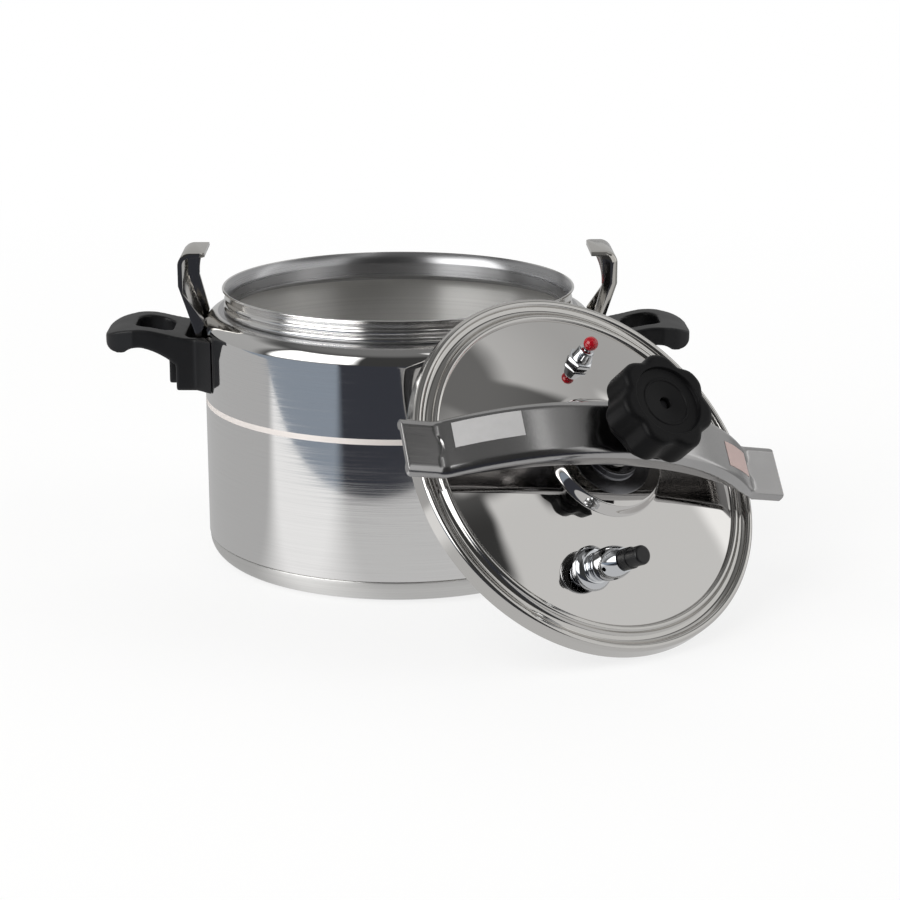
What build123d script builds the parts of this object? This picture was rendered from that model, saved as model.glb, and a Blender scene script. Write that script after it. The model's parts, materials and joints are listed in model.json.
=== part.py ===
from build123d import *
from math import acos, asin, cos, degrees, radians, sin, sqrt
import os

# Stovetop pressure cooker of five litres with a clamp bridge.
# The pot stands on the floor, its axis is Z and its handles lie along X.
# The lid is off: it carries the bridge, the screw and the valves, stands on its skirt
# and leans against the rim of the pot. All sizes are in millimetres.

# Pot
body_r = 110.0         # outside radius of the wall
wall = 1.6             # wall thickness
rim_z = 154.0          # height of the rim
rim_in = 10.6          # from the wall inwards to the edge of the flared rim
mouth_in = 5.2         # from that edge inwards to the narrowest inside radius
neck_in = 3.0          # from that edge inwards to the narrowest outside radius
lip_h = 4.6            # height of the flared lip
bead_h = 4.2           # height of each of the two neck beads
bead_out = 1.3         # how far a bead stands out
shoulder_h = 10.0      # height of the shoulder
floor_round = 14.0     # inside radius between floor and wall
base_t = 6.0           # thickness of the capsule base
seam_z = 13.3          # height of the seam above the base
seam_gap = 0.4         # width of the seam groove
seam_in = 1.6          # depth of the step that the base cap is pressed on
seam_band = 1.3        # straight band of the base under the seam
fit = 0.1              # gap between curved faces of fixed pieces

# Hooks
sheet = 2.5            # pressed sheet thickness
hook_play = 3.0        # room beside the bridge between the side flanges
hook_out = 12.5        # from the wall to the outer face at the top
lip_play = 0.7         # between the lip and a tongue of the closed bridge
lip_reach = 15.0       # lip length from the outer face inwards
knee_drop = 18.5       # from the lip down to where the leaning part turns upright
flange_depth = 8.8     # depth of the full-height side flange
flange_rise = 5.0      # from the shoulder up to where the side flanges begin
lean_drop = 4.0        # from the shoulder down to where the foot starts to lean outwards
foot_lift = 1.0        # foot of the hook over the underside of the handle block

# Handles
grip_reach = 54.5      # from the wall to the outer end
bar_w = 16.5           # from the finger hole to the outer end
hole_in = 17.0         # from the wall to the finger hole
arm_w = 11.0           # width of each arm
arm_side = 7.0         # how far the arms stand out beside the hook
ear_out = 13.0         # how far the saddle reaches out beside the arms
arm_rise = 2.6         # highest point of the arms over the shoulder
block_x = 14.5         # from the wall to the outer face of the block
block_h = 34.6         # height of block and arms
boss_x = 20.0          # from the wall to the face of the screw boss
boss_side = 2.5        # wall of the screw boss beside the washer
stud_lift = 9.0        # stud over the underside of the block
stud_r = 3.0
washer_out = 3.0       # washer beyond the stud
washer_t = 1.0
nut_out = 1.5          # flats of the nut beyond the stud
nut_h = 3.2

# Lid
lid_gap = 0.4          # between the rim and the skirt of the closed lid
skirt_t = 1.4
skirt_h = 8.5          # skirt depth below the bead plane
lid_t = 1.9            # lid thickness
edge_w = 13.7          # width of the beaded edge around the dome
dome_ball = 252.0      # radius of the dome
dome_edge_h = 1.2
boss_r = 33.0          # raised centre of the lid
boss_rise = 3.62       # its height over the top of the dome
seat_h = 2.8           # gasket seat below the bead plane
gasket_w = 8.5         # width of the gasket seat
gasket_h = 3.0
cup_t = 1.0
cup_out = 8.5          # disc of the cup beyond its ring
cup_ring_t = 1.6
cup_ring_h = 4.0
cup_play = 2.9         # between the ring and the foot of the screw
run = 0.3              # running gap between moving pieces

# How the lid leans
lean_turn = 35.5       # direction in which it faces, from straight ahead to the right
lean_over = 2.5        # how far its upper edge stands over the rim
lid_roll = -14.5       # turn of the bridge from level, about the lid axis
lean_gap = -0.6        # skirt edge to the rim, the rim reaching a little into the skirt

# Bridge and screw
tongue_clear = 6.0     # between the end of a tongue and the web of its hook
tongue_l = 20.0        # length of a tongue
tongue_h = 12.5        # top of the tongue over the bead plane
tongue_lip = 1.5       # turned-down edge of the tongue
yoke_w = 32.0
yoke_t = 2.5
yoke_edge = 5.0        # radius of the upper edges
yoke_corner = 3.0      # radius of the four corners, seen from above
crown_rise = 27.0      # top of the arch over the raised centre of the lid
flange_d = 11.5        # depth of the side flanges at the middle
bend_r = 9.0           # bend between arch and tongue
stamp_r = 8.5          # round mark pressed flat in each bend
stamp_d = 1.1          # depth of the crescent that it leaves
bush_wall = 3.0
bush_flange = 3.0      # flange of the bush beyond its wall
bush_flange_t = 2.6
bush_l = 10.0          # length below the flange
screw_r = 6.0
screw_fit = 0.05
pin_step = 2.0         # from the screw in to the pin at its lower end
foot_out = 7.0         # foot beyond the pin
foot_t = 5.5

# Knob
knob_lobes = 7
knob_r = 26.4          # over the lobes
knob_dip = 3.2         # depth of the valleys
lobe_r = 10.0
knob_h = 20.5          # height of the lobed wheel
knob_gap = 1.9         # between the bush and the knob
skirt_l = 5.0          # round skirt below the wheel
skirt_dip = 2.0        # skirt inside the valleys
dish_rim = 5.2         # rim around the dish, at a valley
dish_depth = 2.0
insert_wall = 3.0
insert_l = 18.0
knob_screw_r = 2.7

# Valves
regulator_r = 64.8     # distance from the lid axis
regulator_at = -107.8  # direction from the bridge, in degrees
safety_r = 57.7
safety_at = 89.2
reg_stem_r = 5.0
reg_collar = 2.0       # collar beyond the stem
reg_collar_z = 2.6     # top of the collar over the dome
nozzle_r = 3.0
nozzle_h = 9.0
rock = 10.0            # how far the loose weight leans on its nozzle, in degrees
bore_play = 2.4        # room for that around the nozzle
weight_z = 4.6         # underside of the weight
weight_flange = 3.0    # flange of the weight beyond its hood
weight_flange_t = 4.5
hood_r = 8.75
hood_h = 23.0
hood_top_r = 6.2
vent_w = 1.6           # square vents near the top of the hood
cap_in = 0.6           # cap inside the top of the hood
cap_h = 5.5
tip_in = 0.6           # tip inside the cap
tip_h = 8.5
hex_nut_h = 5.0
nut_gap = 0.5          # room for the curve of the dome over the width of a nut
safe_stem_r = 4.0
safe_af = 12.5
safe_hex_h = 3.4
safe_cone_h = 6.0
safe_top_r = 4.3
needle_r = 1.6
ball_r = 3.85

# Values that follow
rim_r = body_r - rim_in
mouth_r = rim_r - mouth_in
neck_r = rim_r - neck_in
lip_z = rim_z - lip_h
bead_z = lip_z - bead_h
neck_z = bead_z - bead_h
shoulder_z = neck_z - shoulder_h
shoulder_top_r = neck_r + 1.0
shoulder_r = ((body_r - shoulder_top_r) ** 2 + shoulder_h**2) / (2 * (body_r - shoulder_top_r))
floor_z = base_t + wall
under_r = body_r - seam_in
under_round = seam_z - base_t - 2 * seam_gap
base_r = body_r - seam_gap
base_round = seam_z - seam_gap - seam_band
hook_w = yoke_w + hook_play + 2 * sheet
hook_x = body_r + hook_out
hook_top = rim_z + seat_h + gasket_h + tongue_h + lip_play + sheet
hook_knee = hook_top - knee_drop
flange_z = shoulder_z + flange_rise
hook_lean_z = shoulder_z - lean_drop
foot_x0 = body_r + fit
foot_x1 = foot_x0 + sheet
grip_w = hook_w + 2 * arm_side
ear_w = grip_w + 2 * ear_out
hole_w = grip_w - 2 * arm_w
hole_l = grip_reach - bar_w - hole_in
hole_x = hole_in + hole_l / 2
arm_top = shoulder_z + arm_rise
block_z = arm_top - block_h
hook_foot_z = block_z + foot_lift
stud_z = block_z + stud_lift
washer_r = stud_r + washer_out
nut_af = 2 * (stud_r + nut_out)
boss_w = 2 * (washer_r + 0.5 + boss_side)
lid_r = rim_r + lid_gap + skirt_t
skirt_in = lid_r - skirt_t
gasket_in = skirt_in - gasket_w
dome_edge_r = lid_r - edge_w
dome_crown = dome_edge_h + dome_ball - sqrt(dome_ball**2 - dome_edge_r**2)
boss_h = dome_crown + boss_rise
cup_seat = boss_h + cup_t
pin_r = screw_r - pin_step
foot_r = pin_r + foot_out
foot_h0 = cup_seat + run
foot_h1 = foot_h0 + foot_t
cup_ring_in = foot_r + cup_play
cup_ring_r = cup_ring_in + cup_ring_t
cup_r = cup_ring_r + cup_out
yoke_half = hook_x - sheet - tongue_clear
tongue_u = yoke_half - tongue_l
yoke_crown = boss_h + crown_rise
flange_crown = yoke_crown - flange_d
bush_r = screw_r + bush_wall
bush_flange_r = bush_r + bush_flange
bush_h0 = yoke_crown - bush_l
skirt_h0 = yoke_crown + bush_flange_t + knob_gap
knob_h0 = skirt_h0 + skirt_l
knob_valley_r = knob_r - knob_dip
skirt_r = knob_valley_r - skirt_dip
dish_r = knob_valley_r - dish_rim
insert_r = screw_r + insert_wall
insert_top = skirt_h0 + insert_l
cap_r = hood_top_r - cap_in
tip_r = cap_r - tip_in


def chords(curve, count):
    """Straight runs along a curve, which keep a turned piece light in facets."""
    return Polyline(*[curve @ (i / count) for i in range(count + 1)])


def arc(start, middle, end, count):
    """Arc through three points, drawn as chords."""
    return chords(ThreePointArc(start, middle, end, mode=Mode.PRIVATE), count)


def bend(start, end, tangent, count):
    """Arc that leaves the start along a tangent, drawn as chords."""
    return chords(TangentArc(start, end, tangent=tangent, mode=Mode.PRIVATE), count)


def dome_h(r):
    """Height of the polished dome over the bead plane at radius r."""
    return dome_crown - dome_ball + sqrt(dome_ball**2 - r * r)


# The lid stands on the lower edge of its skirt, and its skirt meets the rim of the pot.
turn, up = radians(lean_turn), acos(rim_z / (2 * lid_r - lean_over))
lean_dir = Vector(sin(turn), -cos(turn), 0)
lid_axis = lean_dir * cos(up) + Vector(0, 0, sin(up))
level = Vector(cos(turn), sin(turn), 0)
slope = lid_axis.cross(level)
lid_z = lid_r * cos(up) + skirt_h * sin(up)
lid_out = rim_r + (sin(up) * (rim_z - lid_z) + skirt_h + lean_gap) / cos(up)
lid_at = lean_dir * lid_out + Vector(0, 0, lid_z)
roll = radians(lid_roll)
lid_plane = Plane(origin=lid_at, x_dir=level * cos(roll) + slope * sin(roll), z_dir=lid_axis)


def section(at):
    """Plane through the axis of another plane, with its radius as X and its axis as Y."""
    return Plane(origin=at.origin, x_dir=at.x_dir, z_dir=-at.y_dir)


def valve_plane(r, direction):
    """Plane on the dome at a valve, square to the dome."""
    a, tilt = radians(direction), asin(r / dome_ball)
    radial = lid_plane.x_dir * cos(a) + lid_plane.y_dir * sin(a)
    seat = lid_plane.origin + radial * r + lid_plane.z_dir * dome_h(r)
    return Plane(origin=seat, x_dir=radial.cross(lid_axis), z_dir=radial * sin(tilt) + lid_axis * cos(tilt))


reg_plane = valve_plane(regulator_r, regulator_at)
safe_plane = valve_plane(safety_r, safety_at)

# The weight hangs loose on the tip of its nozzle and leans along the bridge.
nozzle_top = reg_collar_z + nozzle_h
nozzle_tip = reg_plane.origin + reg_plane.z_dir * nozzle_top
weight_axis = reg_plane.z_dir.rotate(Axis((0, 0, 0), lid_plane.y_dir), rock)
weight_plane = Plane(
    origin=nozzle_tip - weight_axis * nozzle_top, x_dir=lid_plane.y_dir.cross(weight_axis), z_dir=weight_axis
)
lid_spin = Axis(lid_plane.origin, lid_plane.z_dir)
reg_spin = Axis(reg_plane.origin, reg_plane.z_dir)
weight_spin = Axis(weight_plane.origin, weight_plane.z_dir)
safe_spin = Axis(safe_plane.origin, safe_plane.z_dir)

os.makedirs("parts", exist_ok=True)

# Pot body: one drawn shell from the floor over the shoulder to the flared rim.
bead_r = shoulder_top_r + bead_out
throat_z = shoulder_z + shoulder_r - wall
with BuildPart() as pot_body:
    with BuildSketch(Plane.XZ):
        with BuildLine():
            Line((0, base_t), (under_r - under_round, base_t))
            bend((under_r - under_round, base_t), (under_r, base_t + under_round), (1, 0), 2)
            Polyline((under_r, base_t + under_round), (under_r, seam_z), (body_r, seam_z))
            Line((body_r, seam_z), (body_r, shoulder_z))
            bend((body_r, shoulder_z), (shoulder_top_r, neck_z), (0, 1), 4)
            arc((shoulder_top_r, neck_z), (bead_r, neck_z + bead_h / 2), (shoulder_top_r - 0.2, bead_z), 3)
            arc((shoulder_top_r - 0.2, bead_z), (bead_r - 0.4, bead_z + bead_h / 2), (neck_r, lip_z), 3)
            arc((neck_r, lip_z), ((neck_r + rim_r) / 2 - 0.4, rim_z - 2.4), (rim_r, rim_z - 0.8), 2)
            arc((rim_r, rim_z - 0.8), (rim_r - 0.25, rim_z - 0.2), (rim_r - 0.9, rim_z), 1)
            arc((rim_r - 0.9, rim_z), (mouth_r + 2.2, rim_z - 2.6), (mouth_r + 0.8, rim_z - 6.0), 2)
            Polyline((mouth_r + 0.8, rim_z - 6.0), (mouth_r, throat_z), (body_r - shoulder_r, throat_z))
            bend((body_r - shoulder_r, throat_z), (body_r - wall, shoulder_z), (1, 0), 3)
            Line((body_r - wall, shoulder_z), (body_r - wall, floor_z + floor_round))
            bend((body_r - wall, floor_z + floor_round), (body_r - wall - floor_round, floor_z), (0, -1), 3)
            Polyline((body_r - wall - floor_round, floor_z), (0, floor_z), (0, base_t))
        make_face()
    revolve(axis=Axis.Z)
pot_body.part.label = "pot_body"
export_step(pot_body.part, "parts/pot_body.step")

# Capsule base: a thick dish pressed over the lower edge of the pot.
with BuildPart() as base_disc:
    with BuildSketch(Plane.XZ):
        with BuildLine():
            Line((0, 0), (base_r - base_round, 0))
            bend((base_r - base_round, 0), (base_r, base_round), (1, 0), 4)
            Polyline(
                (base_r, base_round),
                (base_r, seam_z - seam_gap),
                (under_r + fit, seam_z - seam_gap),
                (under_r + fit, base_t + under_round),
            )
            bend((under_r - under_round, base_t), (under_r + fit, base_t + under_round), (1, 0), 2)
            Polyline((under_r - under_round, base_t), (0, base_t), (0, 0))
        make_face()
    revolve(axis=Axis.Z)
base_disc.part.label = "base_disc"
export_step(base_disc.part, "parts/base_disc.step")

# Hook: a pressed channel whose web turns in at the top to a lip. The flange on the stop side
# runs up to the lip, the one on the entry side ends at the knee so the bridge can swing in.
web_in = hook_x - sheet
lean_in = sheet / cos(radians(18.0))
with BuildPart() as right_hook:
    with BuildSketch(Plane.XZ):
        with BuildLine():
            Polyline(
                (foot_x1, hook_foot_z),
                (foot_x1, hook_lean_z),
                (hook_x, hook_knee),
                (hook_x, hook_top),
                (hook_x - lip_reach, hook_top),
                (hook_x - lip_reach, hook_top - 3 * sheet),
                (hook_x - flange_depth, hook_knee),
                (body_r - 1.6, flange_z),
                (foot_x0, flange_z - 5.0),
                (foot_x0, hook_foot_z),
                close=True,
            )
        side = make_face()
        corners = side.vertices()
        fillet(corners.sort_by_distance((hook_x, hook_top))[0], 7.0)
        fillet(side.vertices().sort_by_distance((hook_x, hook_knee))[0], 24.0)
    extrude(amount=hook_w / 2, both=True)
    stop_edges = right_hook.faces().sort_by(Axis.Y)[0].edges()
    fillet(stop_edges.filter_by(lambda e: e.center().X > foot_x1 - 0.1 and e.center().Z > hook_lean_z), 4.5)
    with BuildSketch(Plane.XZ.offset(-(hook_w / 2 - sheet))):
        with BuildLine():
            Polyline(
                (hook_x - 2 * lip_reach, hook_top - sheet),
                (web_in, hook_top - sheet),
                (web_in, hook_knee),
                (foot_x1 - lean_in, hook_lean_z),
                (hook_x - 2 * lip_reach, hook_lean_z),
                close=True,
            )
        pocket = make_face()
        fillet(pocket.vertices().sort_by_distance((web_in, hook_top - sheet))[0], 4.5)
        fillet(pocket.vertices().sort_by_distance((web_in, hook_knee))[0], 21.5)
    extrude(amount=hook_w - 2 * sheet, mode=Mode.SUBTRACT)
    with BuildSketch(Plane.XZ.offset(-(hook_w / 2 + 1))):
        with BuildLine():
            Polyline(
                (hook_x - 2 * lip_reach, hook_top - sheet),
                (web_in, hook_top - sheet),
                (web_in, hook_knee - 4.0),
                (body_r - 1.6, flange_z),
                (hook_x - 2 * lip_reach, flange_z),
                close=True,
            )
        entry = make_face()
        fillet(entry.vertices().sort_by_distance((web_in, hook_top - sheet))[0], 4.5)
    extrude(amount=sheet + 2.0, mode=Mode.SUBTRACT)
    with BuildSketch(Plane.XZ):
        with Locations((hook_x - flange_depth, hook_top - sheet)):
            Rectangle(lip_reach, hook_top - sheet - hook_knee, align=(Align.MAX, Align.MAX))
    extrude(amount=hook_w, both=True, mode=Mode.SUBTRACT)
    tips = right_hook.edges().filter_by(Axis.Z).group_by(Axis.X)[0]
    fillet(tips, 4.0)
    with BuildSketch(Plane.YZ.offset(foot_x0 - 1)):
        with Locations((0, stud_z)):
            Circle(stud_r + fit)
    extrude(amount=sheet + 2, mode=Mode.SUBTRACT)
right_hook.part.label = "right_hook"
export_step(right_hook.part, "parts/right_hook.step")

with BuildPart() as left_hook:
    add(right_hook.part.rotate(Axis.Z, 180))
left_hook.part.label = "left_hook"
export_step(left_hook.part, "parts/left_hook.step")

# Handle: a loop moulded with its block. The plan outline and the side outline are extruded
# through each other, then the wall, the hook slot and the screw boss are worked in.
end_x = body_r + grip_reach
with BuildPart() as right_handle:
    with BuildSketch(Plane.XY.offset(block_z - 10)):
        with BuildLine():
            Polyline(
                (body_r - 9, -ear_w / 2),
                (body_r + 3.5, -grip_w / 2),
                (end_x - 16, -grip_w / 2 + 1),
                (end_x, -grip_w / 2 + 7),
                (end_x, grip_w / 2 - 7),
                (end_x - 16, grip_w / 2 - 1),
                (body_r + 3.5, grip_w / 2),
                (body_r - 9, ear_w / 2),
                close=True,
            )
        plan = make_face()
        fillet(plan.vertices().group_by(Axis.X)[-1], 13.0)
        fillet(plan.vertices().filter_by(lambda v: abs(v.X - body_r - 3.5) < 0.1), 5.0)
        with Locations((body_r + hole_x, 0)):
            RectangleRounded(hole_l, hole_w, 9.0, mode=Mode.SUBTRACT)
    extrude(amount=arm_top - block_z + 30)
    with BuildSketch(Plane.XZ):
        with BuildLine():
            top = Spline(
                (body_r - 12, arm_top - 4.6),
                (body_r + 8, arm_top - 4.8),
                (body_r + 20, arm_top - 2.4),
                (body_r + 34, arm_top),
                (end_x - 9, arm_top - 1.6),
                (end_x, arm_top - 6.2),
                tangents=((1, 0), (1, -0.75)),
            )
            Line((end_x, arm_top - 6.2), (end_x, arm_top - 12.5))
            nose_z = arm_top - 16.0
            ThreePointArc((end_x, nose_z + 3.5), (end_x - 5.5, nose_z - 1.3), (end_x - 11.5, nose_z))
            Spline(
                (end_x - 11.5, arm_top - 16.0),
                (end_x - 20, arm_top - 11.0),
                (end_x - 30, arm_top - 13.5),
                (body_r + block_x, arm_top - 20.0),
            )
            Polyline(
                (body_r + block_x, arm_top - 20.0),
                (body_r + block_x, block_z),
                (body_r - 12, block_z),
                (body_r - 12, arm_top - 4.6),
            )
        make_face()
    extrude(amount=ear_w, both=True, mode=Mode.INTERSECT)
    with BuildSketch(Plane.XY.offset(block_z)):
        with Locations((body_r + boss_x / 2, 0)):
            Rectangle(boss_x, boss_w)
    extrude(amount=arm_top - block_z - 16)
    with BuildSketch(Plane.XY.offset(block_z - 5)):
        Circle(body_r + fit)
    extrude(amount=rim_z - block_z, mode=Mode.SUBTRACT)
    with BuildSketch(Plane.XY.offset(hook_foot_z - 0.5)):
        with Locations((body_r, 0)):
            Rectangle(2 * (sheet + fit + run), hook_w + 2 * run)
    extrude(amount=rim_z, mode=Mode.SUBTRACT)
    with BuildSketch(Plane.XY.offset(arm_top - 14)):
        with Locations((body_r + 2, 0)):
            RectangleRounded(15.0, hook_w + 5.0, 6.0)
    extrude(amount=rim_z, mode=Mode.SUBTRACT)
    with BuildSketch(Plane.YZ.offset(body_r)):
        with Locations((0, stud_z)):
            Circle(stud_r + fit)
    extrude(amount=boss_x + 5, mode=Mode.SUBTRACT)
    with BuildSketch(Plane.YZ.offset(body_r + boss_x - 5.0)):
        with Locations((0, stud_z)):
            Circle(washer_r + 0.5)
    extrude(amount=10, mode=Mode.SUBTRACT)
right_handle.part.label = "right_handle"
export_step(right_handle.part, "parts/right_handle.step")

with BuildPart() as left_handle:
    add(right_handle.part.rotate(Axis.Z, 180))
left_handle.part.label = "left_handle"
export_step(left_handle.part, "parts/left_handle.step")

# Fixings of hook and handle: a stud on the wall, a washer and a nut in the boss.
seat_x = body_r + boss_x - 5.0
with BuildPart() as right_stud:
    with BuildSketch(Plane.YZ.offset(body_r)):
        with Locations((0, stud_z)):
            Circle(stud_r)
    extrude(amount=boss_x - 0.4)
right_stud.part.label = "right_stud"
export_step(right_stud.part, "parts/right_stud.step")

with BuildPart() as right_washer:
    with BuildSketch(Plane.YZ.offset(seat_x)):
        with Locations((0, stud_z)):
            Circle(washer_r)
            Circle(stud_r + fit, mode=Mode.SUBTRACT)
    extrude(amount=washer_t)
right_washer.part.label = "right_washer"
export_step(right_washer.part, "parts/right_washer.step")

with BuildPart() as right_nut:
    with BuildSketch(Plane.YZ.offset(seat_x + washer_t)):
        with Locations((0, stud_z)):
            RegularPolygon(nut_af / 2, 6, major_radius=False)
            Circle(stud_r + fit, mode=Mode.SUBTRACT)
    extrude(amount=nut_h)
right_nut.part.label = "right_nut"
export_step(right_nut.part, "parts/right_nut.step")

with BuildPart() as left_stud:
    add(right_stud.part.rotate(Axis.Z, 180))
left_stud.part.label = "left_stud"
export_step(left_stud.part, "parts/left_stud.step")

with BuildPart() as left_washer:
    add(right_washer.part.rotate(Axis.Z, 180))
left_washer.part.label = "left_washer"
export_step(left_washer.part, "parts/left_washer.step")

with BuildPart() as left_nut:
    add(right_nut.part.rotate(Axis.Z, 180))
left_nut.part.label = "left_nut"
export_step(left_nut.part, "parts/left_nut.step")

# Lid: skirt, edge bead, channel, inner bead, polished dome and raised centre.
foot_of_boss = boss_r + 1.6
in_r = boss_r - 0.4
mid_r = (foot_of_boss + dome_edge_r) / 2
with BuildPart() as lid_shell:
    with BuildSketch(section(lid_plane)):
        with BuildLine():
            Polyline((0, boss_h - lid_t), (0, boss_h), (boss_r - 2, boss_h))
            arc((boss_r - 2, boss_h), (boss_r - 0.6, boss_h - 0.6), (boss_r, boss_h - 2), 2)
            Line((boss_r, boss_h - 2), (foot_of_boss, dome_h(foot_of_boss)))
            arc((foot_of_boss, dome_h(foot_of_boss)), (mid_r, dome_h(mid_r)), (dome_edge_r, dome_edge_h), 5)
            arc((dome_edge_r, dome_edge_h), (dome_edge_r + 1.9, 2.4), (dome_edge_r + 3.8, 0.9), 3)
            arc((dome_edge_r + 3.8, 0.9), (dome_edge_r + 6.3, -0.9), (lid_r - 4.6, -0.3), 3)
            arc((lid_r - 4.6, -0.3), (lid_r - 2.0, 1.5), (lid_r, -0.9), 4)
            Polyline(
                (lid_r, -0.9),
                (lid_r, -skirt_h),
                (skirt_in, -skirt_h),
                (skirt_in, -seat_h),
                (gasket_in - 0.2, -seat_h),
                (gasket_in - 0.2, -seat_h - 2.0),
                (gasket_in - 1.6, -seat_h - 2.0),
                (gasket_in - 1.6, -seat_h + 1.5),
                (dome_edge_r, dome_edge_h - lid_t),
            )
            under_h = dome_h(in_r) - lid_t
            arc((dome_edge_r, dome_edge_h - lid_t), (mid_r, dome_h(mid_r) - lid_t), (in_r, under_h), 5)
            Polyline((in_r, under_h), (boss_r - 2.4, boss_h - lid_t), (0, boss_h - lid_t))
        make_face()
    revolve(axis=lid_spin)
    with BuildSketch(reg_plane.offset(-10)):
        Circle(reg_stem_r + fit)
    extrude(amount=20, mode=Mode.SUBTRACT)
    with BuildSketch(safe_plane.offset(-10)):
        Circle(safe_stem_r + fit)
    extrude(amount=20, mode=Mode.SUBTRACT)
lid_shell.part.label = "lid_shell"
export_step(lid_shell.part, "parts/lid_shell.step")

# Gasket: a rubber ring on its seat inside the skirt.
with BuildPart() as gasket:
    with BuildSketch(section(lid_plane)):
        with BuildLine():
            Polyline(
                (gasket_in, -seat_h),
                (skirt_in - 0.3, -seat_h),
                (skirt_in - 0.3, -seat_h - gasket_h),
                (gasket_in + 2.5, -seat_h - gasket_h),
                (gasket_in, -seat_h - 1.6),
                close=True,
            )
        make_face()
    revolve(axis=lid_spin)
gasket.part.label = "gasket"
export_step(gasket.part, "parts/gasket.step")

# Cup on the raised centre: a disc, and a ring on it that keeps the foot of the screw in the middle.
with BuildPart() as cup_disc:
    with BuildSketch(lid_plane.offset(boss_h)):
        Circle(cup_r)
    extrude(amount=cup_t)
    chamfer(cup_disc.edges().filter_by(lambda e: (e.center() - lid_at).dot(lid_axis) > cup_seat - 0.1), 0.4)
cup_disc.part.label = "cup_disc"
export_step(cup_disc.part, "parts/cup_disc.step")

with BuildPart() as cup_ring:
    with BuildSketch(lid_plane.offset(cup_seat)):
        Circle(cup_ring_r)
        Circle(cup_ring_in, mode=Mode.SUBTRACT)
    extrude(amount=cup_ring_h)
cup_ring.part.label = "cup_ring"
export_step(cup_ring.part, "parts/cup_ring.step")

# Bridge: an arched channel with turned-down sides and a flat tongue at each end. The channel
# section runs along tongue, bend and half arch, is mirrored, and then trimmed to its lower edge.
bridge_side = section(lid_plane)
arch_r = (tongue_u**2 + (yoke_crown - tongue_h) ** 2) / (2 * (yoke_crown - tongue_h))
arch_mid = yoke_crown - arch_r
bend_mid = tongue_h + bend_r
bend_u = sqrt((arch_r + bend_r) ** 2 - (bend_mid - arch_mid) ** 2)
rise = asin(bend_u / (arch_r + bend_r))
arch_u = arch_r * sin(rise)
arch_h = arch_mid + arch_r * cos(rise)
tongue_low = tongue_h - yoke_t - tongue_lip

# The round mark cuts the bend to its greatest depth at its inner edge.
stamp_far = 0.75 * (bend_u - arch_u)
bend_step = bend_mid - sqrt(bend_r**2 - stamp_far**2) - tongue_h - stamp_d
stamp_in = stamp_far - stamp_r


def bridge_point(u, h):
    """Point over the middle line of the bridge, u along it and h over the bead plane."""
    return lid_plane.origin + lid_plane.x_dir * u + lid_plane.z_dir * h


def channel_at(u, h, climb):
    """Section plane of the channel at a point of the bridge where it climbs by an angle."""
    ahead = lid_plane.x_dir * cos(climb) + lid_plane.z_dir * sin(climb)
    return Plane(origin=bridge_point(u, h), x_dir=lid_plane.y_dir, z_dir=ahead)


def channel():
    """Channel section, open below."""
    outline = Rectangle(yoke_w, yoke_crown / 2, align=(Align.CENTER, Align.MAX))
    fillet(outline.vertices().group_by(Axis.Y)[-1], yoke_edge)
    with Locations((0, -yoke_t)):
        Rectangle(yoke_w - 2 * yoke_t, yoke_crown, align=(Align.CENTER, Align.MAX), mode=Mode.SUBTRACT)


with BuildPart() as yoke_bar:
    with BuildSketch(channel_at(-yoke_half, tongue_h, 0)):
        channel()
    extrude(amount=yoke_half - bend_u)
    with BuildSketch(channel_at(-bend_u, tongue_h, 0)):
        channel()
    revolve(axis=Axis(bridge_point(-bend_u, bend_mid), -lid_plane.y_dir), revolution_arc=degrees(rise))
    with BuildSketch(channel_at(-arch_u, arch_h, rise)):
        channel()
    revolve(axis=Axis(bridge_point(0, arch_mid), lid_plane.y_dir), revolution_arc=degrees(rise))
    mirror(about=Plane(origin=lid_plane.origin, z_dir=lid_plane.x_dir))
    with BuildSketch(bridge_side):
        with BuildLine():
            ThreePointArc((-tongue_u, tongue_low), (0, flange_crown), (tongue_u, tongue_low))
            Polyline(
                (tongue_u, tongue_low),
                (yoke_half, tongue_low),
                (yoke_half, 2 * yoke_crown),
                (-yoke_half, 2 * yoke_crown),
                (-yoke_half, tongue_low),
                (-tongue_u, tongue_low),
            )
        make_face()
    extrude(amount=yoke_w, both=True, mode=Mode.INTERSECT)
    with BuildSketch(lid_plane):
        RectangleRounded(2 * yoke_half, yoke_w, yoke_corner)
    extrude(amount=2 * yoke_crown, mode=Mode.INTERSECT)
    with BuildSketch(lid_plane.offset(tongue_h + bend_step)):
        with Locations((bend_u - stamp_in, 0), (stamp_in - bend_u, 0)):
            Circle(stamp_r)
    extrude(amount=bend_r, mode=Mode.SUBTRACT)
    with BuildSketch(lid_plane.offset(flange_crown)):
        Circle(bush_r + fit)
    extrude(amount=30, mode=Mode.SUBTRACT)
yoke_bar.part.label = "yoke_bar"
export_step(yoke_bar.part, "parts/yoke_bar.step")

# Threaded bush in the crown, with its flange on top and a ring under the sheet.
with BuildPart() as yoke_bush:
    with BuildSketch(section(lid_plane)):
        with BuildLine():
            Polyline(
                (screw_r + screw_fit, bush_h0),
                (bush_r, bush_h0),
                (bush_r, yoke_crown),
                (bush_flange_r, yoke_crown),
                (bush_flange_r, yoke_crown + bush_flange_t - 0.8),
                (bush_flange_r - 0.8, yoke_crown + bush_flange_t),
                (screw_r + screw_fit, yoke_crown + bush_flange_t),
                close=True,
            )
        make_face()
    revolve(axis=lid_spin)
yoke_bush.part.label = "yoke_bush"
export_step(yoke_bush.part, "parts/yoke_bush.step")

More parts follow.
